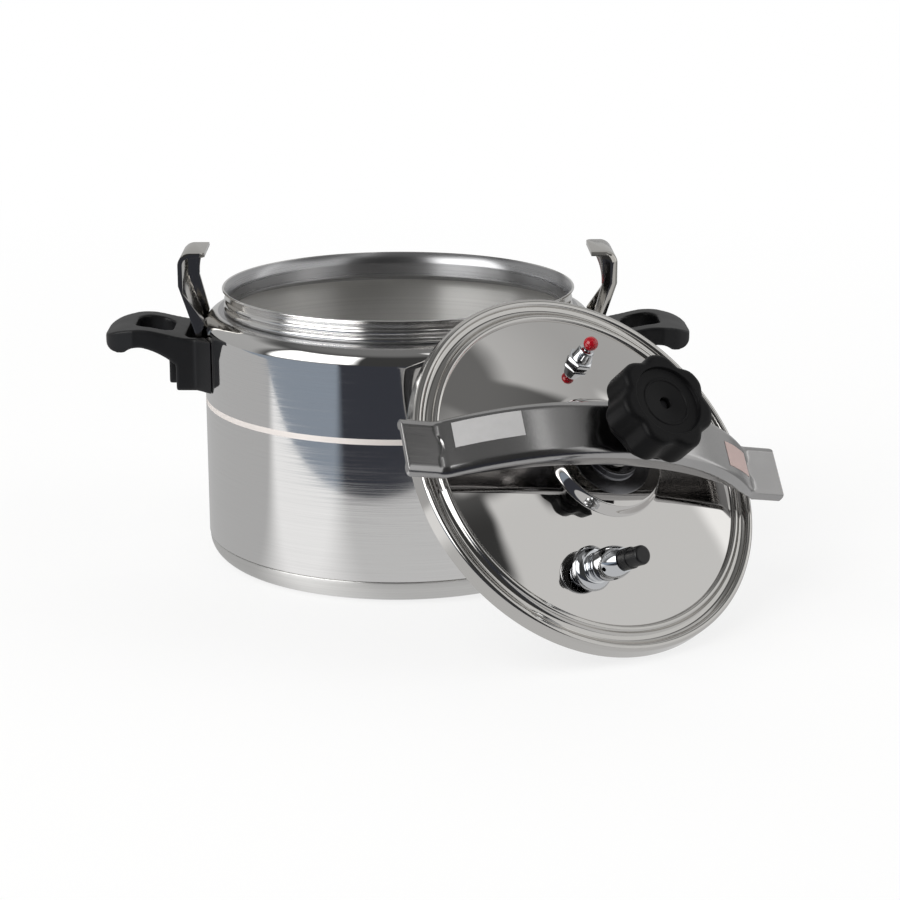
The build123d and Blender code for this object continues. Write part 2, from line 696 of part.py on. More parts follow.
ring_r = yoke_w / 2 - yoke_t - 1.0
ring_top = arch_mid + sqrt((arch_r - yoke_t) ** 2 - ring_r**2) - fit
with BuildPart() as yoke_ring:
    with BuildSketch(lid_plane.offset(bush_h0 + 1.0)):
        Circle(ring_r)
        Circle(bush_r + fit, mode=Mode.SUBTRACT)
    extrude(amount=ring_top - bush_h0 - 1.0)
yoke_ring.part.label = "yoke_ring"
export_step(yoke_ring.part, "parts/yoke_ring.step")

# Screw foot: a pad that rests in the cup and holds the pin of the screw.
with BuildPart() as screw_foot:
    with BuildSketch(section(lid_plane)):
        with BuildLine():
            Polyline(
                (0, foot_h0),
                (foot_r - 2.0, foot_h0),
                (foot_r, foot_h0 + 2.0),
                (foot_r, foot_h1 - 1.5),
                (foot_r - 2.5, foot_h1),
                (pin_r + screw_fit, foot_h1),
                (pin_r + screw_fit, foot_h0 + 1.2),
                (0, foot_h0 + 1.2),
                close=True,
            )
        make_face()
    revolve(axis=lid_spin)
screw_foot.part.label = "screw_foot"
export_step(screw_foot.part, "parts/screw_foot.step")

# Screw: a plain shank with a pin at its lower end, tapped at the top.
with BuildPart() as spindle:
    with BuildSketch(section(lid_plane)):
        with BuildLine():
            Polyline(
                (0, foot_h0 + 1.2 + run),
                (pin_r, foot_h0 + 1.2 + run),
                (pin_r, foot_h1 + run),
                (screw_r, foot_h1 + run + 1.0),
                (screw_r, insert_top),
                (knob_screw_r - 0.7 + fit, insert_top),
                (knob_screw_r - 0.7 + fit, insert_top - 11),
                (0, insert_top - 11),
                close=True,
            )
        make_face()
    revolve(axis=lid_spin)
spindle.part.label = "spindle"
export_step(spindle.part, "parts/spindle.step")

# Knob: a lobed wheel over a round skirt, dished on top.
knob_top = knob_h0 + knob_h
dish_z = knob_top - dish_depth
with BuildPart() as knob:
    with BuildSketch(lid_plane.offset(knob_h0)):
        Circle(knob_valley_r)
        with PolarLocations(knob_r - lobe_r, knob_lobes, start_angle=-15.0):
            Circle(lobe_r)
        fillet(vertices(), 4.0)
    extrude(amount=knob_h)
    rims = knob.faces().filter_by(lambda f: abs(abs(f.normal_at().dot(lid_axis)) - 1) < 1e-3)
    chamfer(rims.edges(), 2.0)
    with BuildSketch(lid_plane.offset(skirt_h0)):
        Circle(skirt_r)
    extrude(amount=knob_h0 - skirt_h0 + 1)
    with BuildSketch(section(lid_plane)):
        with BuildLine():
            arc((0, dish_z - 1.2), (dish_r / 2, dish_z - 0.9), (dish_r, dish_z), 3)
            Polyline((dish_r, dish_z), (dish_r, knob_top + 1), (0, knob_top + 1), (0, dish_z - 1.2))
        make_face()
    revolve(axis=lid_spin, mode=Mode.SUBTRACT)
    with BuildSketch(lid_plane.offset(skirt_h0 - 1)):
        Circle(insert_r + fit)
    extrude(amount=insert_top - skirt_h0 + 1, mode=Mode.SUBTRACT)
    with BuildSketch(lid_plane.offset(insert_top - 1)):
        Circle(knob_screw_r + 0.3)
    extrude(amount=knob_h, mode=Mode.SUBTRACT)
knob.part.label = "knob"
export_step(knob.part, "parts/knob.step")

with BuildPart() as knob_insert:
    with BuildSketch(lid_plane.offset(skirt_h0 + 0.5)):
        Circle(insert_r)
        Circle(screw_r + fit, mode=Mode.SUBTRACT)
    extrude(amount=insert_top - skirt_h0 - 0.5)
knob_insert.part.label = "knob_insert"
export_step(knob_insert.part, "parts/knob_insert.step")

with BuildPart() as knob_screw:
    with BuildSketch(section(lid_plane)):
        with BuildLine():
            Polyline(
                (0, insert_top - 10),
                (knob_screw_r - 0.7, insert_top - 10),
                (knob_screw_r - 0.7, insert_top),
                (knob_screw_r, insert_top),
                (knob_screw_r, insert_top + 2.0),
                (knob_screw_r - 0.5, insert_top + 2.5),
                (0, insert_top + 2.5),
                close=True,
            )
        make_face()
    revolve(axis=lid_spin)
knob_screw.part.label = "knob_screw"
export_step(knob_screw.part, "parts/knob_screw.step")

# Pressure regulator: a fixed nozzle, and a loose weight of flange, vented hood and black cap.
reg_collar_r = reg_stem_r + reg_collar
with BuildPart() as regulator_body:
    with BuildSketch(section(reg_plane)):
        with BuildLine():
            Polyline(
                (0, -9.0),
                (reg_stem_r, -9.0),
                (reg_stem_r, 1.2),
                (reg_collar_r, 1.2),
                (reg_collar_r, reg_collar_z - 0.4),
                (reg_collar_r - 0.4, reg_collar_z),
                (nozzle_r, reg_collar_z),
                (nozzle_r, nozzle_top),
                (0, nozzle_top),
                close=True,
            )
        make_face()
    revolve(axis=reg_spin)
regulator_body.part.label = "regulator_body"
export_step(regulator_body.part, "parts/regulator_body.step")

with BuildPart() as regulator_washer:
    with BuildSketch(reg_plane.offset(0.02)):
        Circle(reg_collar_r + 1.2)
        Circle(reg_stem_r + fit, mode=Mode.SUBTRACT)
    extrude(amount=1.18)
regulator_washer.part.label = "regulator_washer"
export_step(regulator_washer.part, "parts/regulator_washer.step")

with BuildPart() as regulator_nut:
    with BuildSketch(reg_plane.offset(-lid_t - nut_gap - hex_nut_h)):
        RegularPolygon(reg_stem_r + 3.0, 6, major_radius=False)
        Circle(reg_stem_r + fit, mode=Mode.SUBTRACT)
    extrude(amount=hex_nut_h)
regulator_nut.part.label = "regulator_nut"
export_step(regulator_nut.part, "parts/regulator_nut.step")

weight_r = hood_r + weight_flange
flange_top = weight_z + weight_flange_t
hood_top = flange_top + hood_h
bore_r = nozzle_r + bore_play
bore_top = nozzle_top + nozzle_r * sin(radians(rock)) + run
with BuildPart() as regulator_hood:
    with BuildSketch(section(weight_plane)):
        with BuildLine():
            Polyline(
                (bore_r, weight_z),
                (weight_r - 0.8, weight_z),
                (weight_r, weight_z + 0.8),
                (weight_r, flange_top - 1.6),
                (weight_r - 1.6, flange_top),
                (hood_r, flange_top),
                (hood_r, flange_top + hood_h / 2),
            )
            arc((hood_r, flange_top + hood_h / 2), (hood_r - 0.6, hood_top - 4.6), (hood_top_r, hood_top), 4)
            Polyline((hood_top_r, hood_top), (0, hood_top), (0, bore_top))
            Polyline((0, bore_top), (bore_r, bore_top), (bore_r, weight_z))
        make_face()
    revolve(axis=weight_spin)
    with BuildSketch(weight_plane.offset(hood_top - 8.0)):
        with PolarLocations(hood_r - 3.0, 6):
            Rectangle(10.0, vent_w, align=(Align.MIN, Align.CENTER))
    extrude(amount=vent_w, mode=Mode.SUBTRACT)
regulator_hood.part.label = "regulator_hood"
export_step(regulator_hood.part, "parts/regulator_hood.step")

with BuildPart() as regulator_cap:
    with BuildSketch(section(weight_plane)):
        with BuildLine():
            Polyline(
                (0, hood_top),
                (cap_r, hood_top),
                (cap_r, hood_top + cap_h),
                (tip_r, hood_top + cap_h + 0.4),
                (tip_r, hood_top + cap_h + tip_h - 1.2),
                (tip_r - 1.2, hood_top + cap_h + tip_h),
                (0, hood_top + cap_h + tip_h),
                close=True,
            )
        make_face()
    revolve(axis=weight_spin)
regulator_cap.part.label = "regulator_cap"
export_step(regulator_cap.part, "parts/regulator_cap.step")

# Safety valve: a tapered body on a hexagon, and a pin that carries the red ball.
hex_z = 1.1
cone_z = hex_z + safe_hex_h
safe_top = cone_z + safe_cone_h
with BuildPart() as safety_body:
    with BuildSketch(section(safe_plane)):
        with BuildLine():
            Polyline(
                (0, -8.0),
                (safe_stem_r, -8.0),
                (safe_stem_r, hex_z),
                (safe_af / 2 - 0.5, hex_z),
                (safe_af / 2 - 0.9, cone_z),
                (safe_top_r, safe_top - 0.5),
                (safe_top_r - 0.5, safe_top),
                (0, safe_top),
                close=True,
            )
        make_face()
    revolve(axis=safe_spin)
    with BuildSketch(safe_plane.offset(hex_z)):
        RegularPolygon(safe_af / 2, 6, major_radius=False)
    extrude(amount=safe_hex_h - 0.8)
    with BuildSketch(safe_plane.offset(hex_z)):
        Circle(needle_r + 0.06)
    extrude(amount=safe_top, mode=Mode.SUBTRACT)
safety_body.part.label = "safety_body"
export_step(safety_body.part, "parts/safety_body.step")

with BuildPart() as safety_washer:
    with BuildSketch(safe_plane.offset(0.02)):
        Circle(safe_af / 2 - 0.2)
        Circle(safe_stem_r + fit, mode=Mode.SUBTRACT)
    extrude(amount=hex_z - 0.02)
safety_washer.part.label = "safety_washer"
export_step(safety_washer.part, "parts/safety_washer.step")

with BuildPart() as safety_nut:
    with BuildSketch(safe_plane.offset(-lid_t - nut_gap - hex_nut_h)):
        RegularPolygon(safe_stem_r + 2.5, 6, major_radius=False)
        Circle(safe_stem_r + fit, mode=Mode.SUBTRACT)
    extrude(amount=hex_nut_h)
safety_nut.part.label = "safety_nut"
export_step(safety_nut.part, "parts/safety_nut.step")

ball_z = safe_top + run + ball_r
with BuildPart() as safety_stem:
    with BuildSketch(safe_plane.offset(hex_z + run)):
        Circle(needle_r)
    extrude(amount=ball_z - hex_z - run)
safety_stem.part.label = "safety_stem"
export_step(safety_stem.part, "parts/safety_stem.step")

with BuildPart() as safety_ball:
    with BuildSketch(section(safe_plane)):
        with BuildLine():
            ThreePointArc((0, ball_z - ball_r), (ball_r, ball_z), (0, ball_z + ball_r))
            Line((0, ball_z + ball_r), (0, ball_z - ball_r))
        make_face()
    revolve(axis=safe_spin)
    with BuildSketch(safe_plane.offset(ball_z - ball_r - 1)):
        Circle(needle_r + fit / 2)
    extrude(amount=ball_r + 1.05, mode=Mode.SUBTRACT)
safety_ball.part.label = "safety_ball"
export_step(safety_ball.part, "parts/safety_ball.step")
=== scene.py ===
import json
from math import acos, asin, atan2, cos, hypot, pi, radians, sin, sqrt

import bmesh
import bpy
from mathutils import Euler, Matrix, Vector


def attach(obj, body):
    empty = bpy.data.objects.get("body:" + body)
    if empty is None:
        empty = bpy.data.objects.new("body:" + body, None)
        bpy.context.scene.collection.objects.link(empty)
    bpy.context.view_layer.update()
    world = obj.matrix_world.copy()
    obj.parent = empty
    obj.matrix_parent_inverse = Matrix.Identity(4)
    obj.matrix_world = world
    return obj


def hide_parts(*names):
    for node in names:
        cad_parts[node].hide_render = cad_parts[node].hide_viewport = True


bl_info = {
    "name": "Clamp-lid pressure cooker",
    "version": (1, 0, 0),
    "blender": (4, 5, 0),
    "location": "View3D > Sidebar > Cooker",
    "description": "Builds the visible surfaces of a stovetop pressure cooker on its packed frame",
    "category": "Object",
}

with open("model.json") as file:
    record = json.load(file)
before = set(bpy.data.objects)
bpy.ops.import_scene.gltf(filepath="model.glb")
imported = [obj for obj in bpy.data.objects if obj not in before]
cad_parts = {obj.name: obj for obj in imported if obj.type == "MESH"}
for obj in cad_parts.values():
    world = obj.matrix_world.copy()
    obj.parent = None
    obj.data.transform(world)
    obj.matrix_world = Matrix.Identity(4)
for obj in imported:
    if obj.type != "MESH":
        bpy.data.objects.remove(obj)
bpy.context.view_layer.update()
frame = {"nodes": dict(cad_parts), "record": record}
MM = 0.001
JOINTS = {joint["name"]: joint for joint in frame["record"]["behaviour"]["joints"]}
# Edges over the first angle are shaded sharp, faces under the second are joined into one.
SHARP, FLAT = radians(32), radians(0.4)
# Points nearer to each other than this are one point.
SAME = 2e-6
SOFT = {"interpolation_type": "SMOOTHSTEP"}


def linear(code):
    """Linear colour from an sRGB hex value."""
    parts = [int(code[i : i + 2], 16) / 255 for i in (1, 3, 5)]
    return tuple(c / 12.92 if c <= 0.04045 else ((c + 0.055) / 1.055) ** 2.4 for c in parts)


def length(name, words, value):
    """Size as a property, given in millimetres."""
    return bpy.props.FloatProperty(
        name=name, description=words, default=value * MM, unit="LENGTH", precision=4
    )


def angle(name, words, value):
    """Angle as a property, given in degrees."""
    return bpy.props.FloatProperty(
        name=name, description=words, default=radians(value), subtype="ANGLE", unit="ROTATION"
    )


def colour(name, words, code):
    """Colour as a property, given as an sRGB hex value."""
    return bpy.props.FloatVectorProperty(
        name=name, description=words, default=linear(code), size=3, min=0, max=1, subtype="COLOR"
    )


class CookerPot(bpy.types.PropertyGroup):
    """Sizes of the pot, its base, hooks and handles."""

    body_r: length("Body radius", "Outside radius of the wall", 110.0)
    wall: length("Wall", "Thickness of the wall", 1.6)
    rim_r: length("Rim radius", "Outside radius of the flared rim", 99.4)
    rim_z: length("Rim height", "Height of the rim over the floor", 154.0)
    shoulder_z: length("Shoulder", "Top of the straight wall", 131.0)
    seam_z: length("Seam", "Height of the seam over the capsule base", 13.3)
    stripe_z: length("Stripe", "Height of the satin stripe", 91.0)
    stripe_w: length("Stripe width", "Width of the satin stripe", 2.9)
    soften: length("Handle softening", "Voxel size that rounds the moulded handles", 0.7)
    metal: colour("Wall colour", "Colour of the spun aluminium", "#E8E7E6")
    stripe: colour("Stripe colour", "Colour of the satin stripe", "#E3DCD8")
    base: colour("Base colour", "Colour of the turned base", "#E6E5E3")
    inner: colour("Inner colour", "Colour of the brushed inside", "#E9E8E6")
    steel: colour("Hook colour", "Colour of the polished steel hooks", "#C4C1BC")
    black: colour("Handle colour", "Colour of the moulded handles", "#0B0B0D")


class CookerLid(bpy.types.PropertyGroup):
    """Sizes of the lid and its valves, and how the lid leans."""

    turn: angle("Facing", "Direction in which the lid faces, from straight ahead to the right", 35.5)
    roll: angle("Roll", "Turn of the bridge from level, about the lid axis", -14.5)
    radius: length("Radius", "Outside radius of the skirt", 101.2)
    skirt: length("Skirt", "Depth of the skirt below the bead plane", 8.5)
    dome: length("Dome", "Radius of the polished dome", 252.0)
    dome_edge: length("Dome edge", "Radius at which the dome meets the edge beads", 87.5)
    dome_low: length("Dome foot", "Height of the dome's edge over the bead plane", 1.2)
    boss_r: length("Centre radius", "Radius of the raised centre", 33.0)
    boss_h: length("Centre height", "Height of the raised centre over the bead plane", 20.5)
    regulator_r: length("Regulator radius", "Distance of the pressure regulator from the lid axis", 64.8)
    regulator_at: angle("Regulator bearing", "Direction of the pressure regulator from the bridge", -107.8)
    rock: angle("Weight lean", "How far the loose weight leans on its nozzle", 10.0)
    safety_r: length("Safety radius", "Distance of the safety valve from the lid axis", 57.7)
    safety_at: angle("Safety bearing", "Direction of the safety valve from the bridge", 89.2)
    mirror: colour("Dome colour", "Colour of the mirror polish", "#D6D4D2")
    edge: colour("Edge colour", "Colour of the turned edge beads", "#D2D0CD")
    rubber: colour("Gasket colour", "Colour of the rubber gasket", "#26262A")
    chrome: colour("Chrome colour", "Colour of the plated valves", "#D8DADD")
    ball: colour("Ball colour", "Colour of the safety ball", "#A60F1E")


class CookerBridge(bpy.types.PropertyGroup):
    """Sizes of the bridge, its screw and the knob."""

    crown: length("Crown", "Top of the arch over the bead plane", 47.5)
    tongue_u: length("Tongue", "Where the arch turns into the flat tongue", 94.0)
    tongue_h: length("Tongue height", "Top of the tongue over the bead plane", 12.5)
    half: length("Half length", "Distance of each end from the screw", 114.0)
    width: length("Width", "Width over the turned-down sides", 32.0)
    sheet: length("Sheet", "Thickness of the pressed sheet", 2.5)
    edge_r: length("Edge radius", "Radius of the upper edges", 5.0)
    bend_r: length("Bend radius", "Radius of the bend between arch and tongue", 9.0)
    corner_r: length("Corner radius", "Radius of the corners of each end", 3.0)
    side_crown: length("Side crown", "Height of the lower edge of the sides at the screw", 36.0)
    tongue_low: length("Tongue side", "Height of the lower edge of the tongue", 8.5)
    stamp_r: length("Stamp radius", "Radius of the round mark pressed in each bend", 8.5)
    screw_r: length("Screw radius", "Crest radius of the screw thread", 6.0)
    pitch: length("Pitch", "Rise of the thread in one turn", 4.0)
    knob_r: length("Knob radius", "Radius over the lobes", 26.4)
    valley: length("Valley depth", "How far a valley lies inside the lobes", 3.2)
    lobes: bpy.props.IntProperty(name="Lobes", description="Lobes around the knob", default=7, min=3)
    steel: colour("Bridge colour", "Colour of the brushed steel", "#B9B8B8")
    screw: colour("Screw colour", "Colour of the turned steel", "#B9B7B3")
    black: colour("Knob colour", "Colour of the moulded knob", "#0A0A0B")
    label: colour("Label colour", "Colour of the bare paper label", "#B4B3B3")
    tag: colour("Tag colour", "Colour of the bare tinted label", "#C9B1AC")


class CookerStage(bpy.types.PropertyGroup):
    """Camera, light and floor."""

    camera: bpy.props.FloatVectorProperty(
        name="Camera",
        description="Place of the camera",
        default=(0, -1.25, 0.405),
        subtype="XYZ",
        unit="LENGTH",
    )
    down: angle("Tilt", "How far the camera looks down", 15.59)
    aside: angle("Turn", "How far the camera looks to the right", 1.34)
    lens: bpy.props.FloatProperty(
        name="Lens", description="Focal length in millimetres", default=89.85, min=1
    )
    floor: colour("Floor colour", "Colour of the floor", "#F5F5F4")
    light: colour("Sheet colour", "Colour of the hung sheets", "#FBFBFA")
    # Painted shade that only metal sees on the floor, past the edge of the painted pool of light.
    painted_left_shade: colour("Far floor aside", "Colour of the dim floor on the left, as metal shows it", "#919BA7")
    painted_floor_shade: colour("Far floor", "Colour of the dim far floor, as metal shows it", "#3B3D44")


SETTINGS = (CookerPot, CookerLid, CookerBridge, CookerStage)


def lid_matrix(lid):
    """Matrix from the lid's own frame, its axis along Z and the bridge along X, to the row frame."""
    axis = Vector(JOINTS["lid_lift"]["axis"]).normalized()
    level = Vector((cos(lid.turn), sin(lid.turn), 0))
    slope = axis.cross(level)
    along = level * cos(lid.roll) + slope * sin(lid.roll)
    return upright(Vector(JOINTS["yoke_swivel"]["pos_m"]), along, axis)


def dome_h(lid, r):
    """Height of the dome over the bead plane at radius r."""
    crown = lid.dome_low + lid.dome - sqrt(lid.dome**2 - lid.dome_edge**2)
    return crown - lid.dome + sqrt(lid.dome**2 - r * r)


def upright(origin, aside, axis):
    """Matrix of a frame with its X along aside and its Z along an axis."""
    made = Matrix((aside, axis.cross(aside), axis)).transposed().to_4x4()
    made.translation = origin
    return made


def valve_matrix(lid, r, bearing):
    """Matrix from a valve's own frame, square to the dome at its seat, to the row frame."""
    place = lid_matrix(lid)
    turn = place.to_3x3()
    radial, axis = turn @ Vector((cos(bearing), sin(bearing), 0)), turn @ Vector((0, 0, 1))
    tilt = asin(r / lid.dome)
    seat = place.translation + radial * r + axis * dome_h(lid, r)
    return upright(seat, radial.cross(axis), radial * sin(tilt) + axis * cos(tilt))


def weight_matrix(lid, pivot):
    """Matrix of the loose weight, which leans about the tip of its nozzle, a height over its seat."""
    seat = valve_matrix(lid, lid.regulator_r, lid.regulator_at)
    across = lid_matrix(lid).to_3x3() @ Vector((0, 1, 0))
    straight = seat.to_3x3() @ Vector((0, 0, 1))
    axis = Matrix.Rotation(lid.rock, 3, across) @ straight
    return upright(seat @ Vector((0, 0, pivot)) - axis * pivot, across.cross(axis), axis)


def eased(share):
    """Share from 0 to 1 that starts and ends softly."""
    return share * share * (3 - 2 * share)


def arc(start, middle, end, count):
    """Points along the arc through three points, the start left out."""
    (ax, ay), (bx, by), (cx, cy) = start, middle, end
    d = 2 * (ax * (by - cy) + bx * (cy - ay) + cx * (ay - by))
    a2, b2, c2 = ax * ax + ay * ay, bx * bx + by * by, cx * cx + cy * cy
    ux = (a2 * (by - cy) + b2 * (cy - ay) + c2 * (ay - by)) / d
    uy = (a2 * (cx - bx) + b2 * (ax - cx) + c2 * (bx - ax)) / d
    first, between, last = (atan2(y - uy, x - ux) for x, y in (start, middle, end))
    r = hypot(ax - ux, ay - uy)
    sweep = (last - first) % (2 * pi)
    if (between - first) % (2 * pi) > sweep:
        sweep -= 2 * pi
    turns = [first + sweep * i / count for i in range(1, count + 1)]
    return [(ux + r * cos(turn), uy + r * sin(turn)) for turn in turns]


def corner(before, at, after, r, count=5):
    """Points of a round of radius r that replaces the corner at a point."""
    p, q, s = Vector(before), Vector(at), Vector(after)
    u, w = (p - q).normalized(), (s - q).normalized()
    half = u.angle(w) / 2
    reach = r / sin(half) * cos(half)
    first, last = q + u * reach, q + w * reach
    middle = q + (u + w).normalized() * (r / sin(half) - r)
    return [tuple(first)] + arc(tuple(first), tuple(middle), tuple(last), count)


def rounded(points, radii, closed=False, count=5):
    """Outline with a round at each corner that has a radius; points and radii are in millimetres."""
    made = []
    for i, at in enumerate(points):
        r = radii.get(i, 0)
        if r and (closed or 0 < i < len(points) - 1):
            made += corner(points[i - 1], at, points[(i + 1) % len(points)], r, count)
        else:
            made.append(at)
    return made


def held(outline, closed=False):
    """Outline with points near the ends of its long runs, which keep these flat when shaded smooth."""
    inset, long_run = 0.4, 2.4
    made = []
    for start, end in zip(outline, outline[1:] + (outline[:1] if closed else [])):
        run = hypot(end[0] - start[0], end[1] - start[1])
        made.append(start)
        for share in (inset / run, 1 - inset / run) if run > long_run else ():
            made.append((start[0] + (end[0] - start[0]) * share, start[1] + (end[1] - start[1]) * share))
    return made if closed else made + outline[-1:]


def feed(tree, node, inputs):
    """Sets or links inputs of a node."""
    for key, value in inputs.items():
        if isinstance(value, bpy.types.NodeSocket):
            tree.links.new(value, node.inputs[key])
        else:
            node.inputs[key].default_value = value


def add(tree, kind, inputs=None, **settings):
    """Adds a node with its settings, sets or links its inputs and gives back its outputs."""
    made = tree.nodes.new(kind)
    for key, value in settings.items():
        setattr(made, key, value)
    feed(tree, made, inputs or {})
    return made.outputs


def span(value, start, end, low=0.0, high=1.0):
    """Names the inputs for a value that goes from low at the start to high at the end."""
    return {"Value": value, "From Min": start, "From Max": end, "To Min": low, "To Max": high}


def placed(here, place, stretch=1.0):
    """Names the inputs for coordinates in a piece's own frame, with marks stretched along its X."""
    turn = place.to_euler()
    return {"Vector": here, "Location": place.translation, "Rotation": turn, "Scale": (stretch, 1.0, 1.0)}


def tree_with(name, *sockets):
    """Geometry tree with a geometry input and output and further named inputs."""
    tree = bpy.data.node_groups.new(name, "GeometryNodeTree")
    tree.interface.new_socket("Geometry", in_out="INPUT", socket_type="NodeSocketGeometry")
    for label, kind in sockets:
        tree.interface.new_socket(label, in_out="INPUT", socket_type=kind)
    tree.interface.new_socket("Geometry", in_out="OUTPUT", socket_type="NodeSocketGeometry")
    return tree, add(tree, "NodeGroupInput")


def close_tree(tree, geometry, finish):
    """Ends a geometry tree with real geometry in one finish."""
    real = add(tree, "GeometryNodeRealizeInstances", {"Geometry": geometry})[0]
    done = add(tree, "GeometryNodeSetMaterial", {"Geometry": real, "Material": finish})[0]
    add(tree, "NodeGroupOutput", {0: done})
    return tree


def turned_tree():
    """Tree that turns an outline in the XZ plane about Z, with optional lobes around its outer part."""
    tree, given = tree_with(
        "Turned piece",
        ("Steps", "NodeSocketInt"),
        ("Core", "NodeSocketFloat"),
        ("Lobes", "NodeSocketInt"),
        ("Valley", "NodeSocketFloat"),
        ("Lobe from", "NodeSocketFloat"),
        ("Lobe to", "NodeSocketFloat"),
        ("Lobe turn", "NodeSocketFloat"),
        ("Finish", "NodeSocketMaterial"),
    )
    here = add(tree, "GeometryNodeInputPosition")[0]
    split = add(tree, "ShaderNodeSeparateXYZ", {0: here})
    across = add(tree, "ShaderNodeMath", {0: split["X"], 1: given["Core"]}, operation="SUBTRACT")[0]
    down = add(tree, "ShaderNodeMath", {0: split["Z"], 1: -1.0}, operation="MULTIPLY")[0]
    flat = add(tree, "ShaderNodeCombineXYZ", {"X": across, "Y": down})[0]
    laid = add(tree, "GeometryNodeSetPosition", {"Geometry": given["Geometry"], "Position": flat})[0]
    outline = add(tree, "GeometryNodeMeshToCurve", {"Mesh": laid})[0]
    circle = {"Resolution": given["Steps"], "Radius": given["Core"]}
    ring = add(tree, "GeometryNodeCurvePrimitiveCircle", circle, mode="RADIUS")[0]
    standing = add(tree, "GeometryNodeSetCurveNormal", {"Curve": ring}, mode="Z_UP")[0]
    swept = add(tree, "GeometryNodeCurveToMesh", {"Curve": standing, "Profile Curve": outline})[0]
    # Each valley is a wave around the axis, narrowed by a power and faded in from the middle.
    bearing = add(tree, "ShaderNodeMath", {0: split["Y"], 1: split["X"]}, operation="ARCTAN2")[0]
    turn = add(tree, "ShaderNodeMath", {0: bearing, 1: given["Lobe turn"]}, operation="SUBTRACT")[0]
    beat = add(tree, "ShaderNodeMath", {0: turn, 1: given["Lobes"]}, operation="MULTIPLY")[0]
    wave = add(tree, "ShaderNodeMath", {0: beat}, operation="COSINE")[0]
    dip = add(tree, "ShaderNodeMath", {0: wave, 1: -0.5, 2: 0.5}, operation="MULTIPLY_ADD")[0]
    sharp = add(tree, "ShaderNodeMath", {0: dip, 1: 1.6}, operation="POWER")[0]
    level = add(tree, "ShaderNodeVectorMath", {0: here, 1: (1, 1, 0)}, operation="MULTIPLY")[0]
    out = add(tree, "ShaderNodeVectorMath", {0: level}, operation="LENGTH")["Value"]
    part = add(tree, "ShaderNodeMapRange", span(out, given["Lobe from"], given["Lobe to"]), **SOFT)[0]
    depth = add(tree, "ShaderNodeMath", {0: sharp, 1: given["Valley"]}, operation="MULTIPLY")[0]
    inward = add(tree, "ShaderNodeMath", {0: depth, 1: part}, operation="MULTIPLY")[0]
    back = add(tree, "ShaderNodeMath", {0: inward, 1: -1.0}, operation="MULTIPLY")[0]
    outward = add(tree, "ShaderNodeVectorMath", {0: level}, operation="NORMALIZE")[0]
    shift = add(tree, "ShaderNodeVectorMath", {0: outward, "Scale": back}, operation="SCALE")[0]
    lobed = add(tree, "GeometryNodeSetPosition", {"Geometry": swept, "Offset": shift})[0]
    closed = add(tree, "GeometryNodeMergeByDistance", {"Geometry": lobed, "Distance": SAME})[0]
    return close_tree(tree, closed, given["Finish"])


def thread_tree():
    """Tree that winds a ridge of square section, on its corner, in a helix about Z from a start height."""
    tree, given = tree_with(
        "Screw thread",
        ("Turns", "NodeSocketFloat"),
        ("Start", "NodeSocketFloat"),
        ("Height", "NodeSocketFloat"),
        ("Radius", "NodeSocketFloat"),
        ("Ridge", "NodeSocketFloat"),
        ("Finish", "NodeSocketMaterial"),
    )
    run = {"Resolution": 48, "Rotations": given["Turns"], "Height": given["Height"]}
    run.update({"Start Radius": given["Radius"], "End Radius": given["Radius"]})
    helix = add(tree, "GeometryNodeCurveSpiral", run)[0]
    standing = add(tree, "GeometryNodeSetCurveNormal", {"Curve": helix}, mode="Z_UP")[0]
    section = {"Resolution": 4, "Radius": given["Ridge"]}
    ridge = add(tree, "GeometryNodeCurvePrimitiveCircle", section, mode="RADIUS")[0]
    sweep = {"Curve": standing, "Profile Curve": ridge, "Fill Caps": True}
    wound = add(tree, "GeometryNodeCurveToMesh", sweep)[0]
    rise = add(tree, "ShaderNodeCombineXYZ", {"Z": given["Start"]})[0]
    raised = add(tree, "GeometryNodeSetPosition", {"Geometry": wound, "Offset": rise})[0]
    whole = add(tree, "GeometryNodeJoinGeometry", {0: given["Geometry"]})[0]
    feed(tree, whole.node, {0: raised})
    return close_tree(tree, whole, given["Finish"])


def tree_named(name, maker):
    """Geometry tree of a name, made if it isn't there yet."""
    return bpy.data.node_groups.get(name) or maker()


def shown(name, data):
    """Object of a mesh, lamp or camera, linked to the scene."""
    made = bpy.data.objects.new(name, data)
    bpy.context.scene.collection.objects.link(made)
    return made


def drop(item):
    """Removes an object and its mesh."""
    mesh = item.data
    bpy.data.objects.remove(item)
    bpy.data.meshes.remove(mesh)


def coat(mesh, finish):
    """Gives a mesh one finish."""
    mesh.materials.clear()
    mesh.materials.append(finish)


def meshed(name, bm, finish):
    """Object of a bmesh, which is freed, in one finish."""
    mesh = bpy.data.meshes.new(name)
    bm.to_mesh(mesh)
    bm.free()
    coat(mesh, finish)
    return shown(name, mesh)


def plain(maker, name):
    """Object with the evaluated mesh of another, whose modifiers it doesn't keep."""
    seen = maker.evaluated_get(bpy.context.evaluated_depsgraph_get())
    mesh = bpy.data.meshes.new_from_object(seen)
    mesh.name = name
    drop(maker)
    return shown(name, mesh)


def settle(piece, place=None, sharp=SHARP):
    """Merges doubles, turns faces outwards, moves the mesh to its place and shades it smooth."""
    bm = bmesh.new()
    bm.from_mesh(piece.data)
    bmesh.ops.remove_doubles(bm, verts=bm.verts, dist=SAME)
    bmesh.ops.dissolve_degenerate(bm, edges=bm.edges, dist=SAME / 2)
    bmesh.ops.recalc_face_normals(bm, faces=bm.faces)
    if place:
        bm.transform(place)
    bm.to_mesh(piece.data)
    bm.free()
    piece.data.shade_smooth()
    piece.data.set_sharp_from_angle(angle=sharp)
    return piece


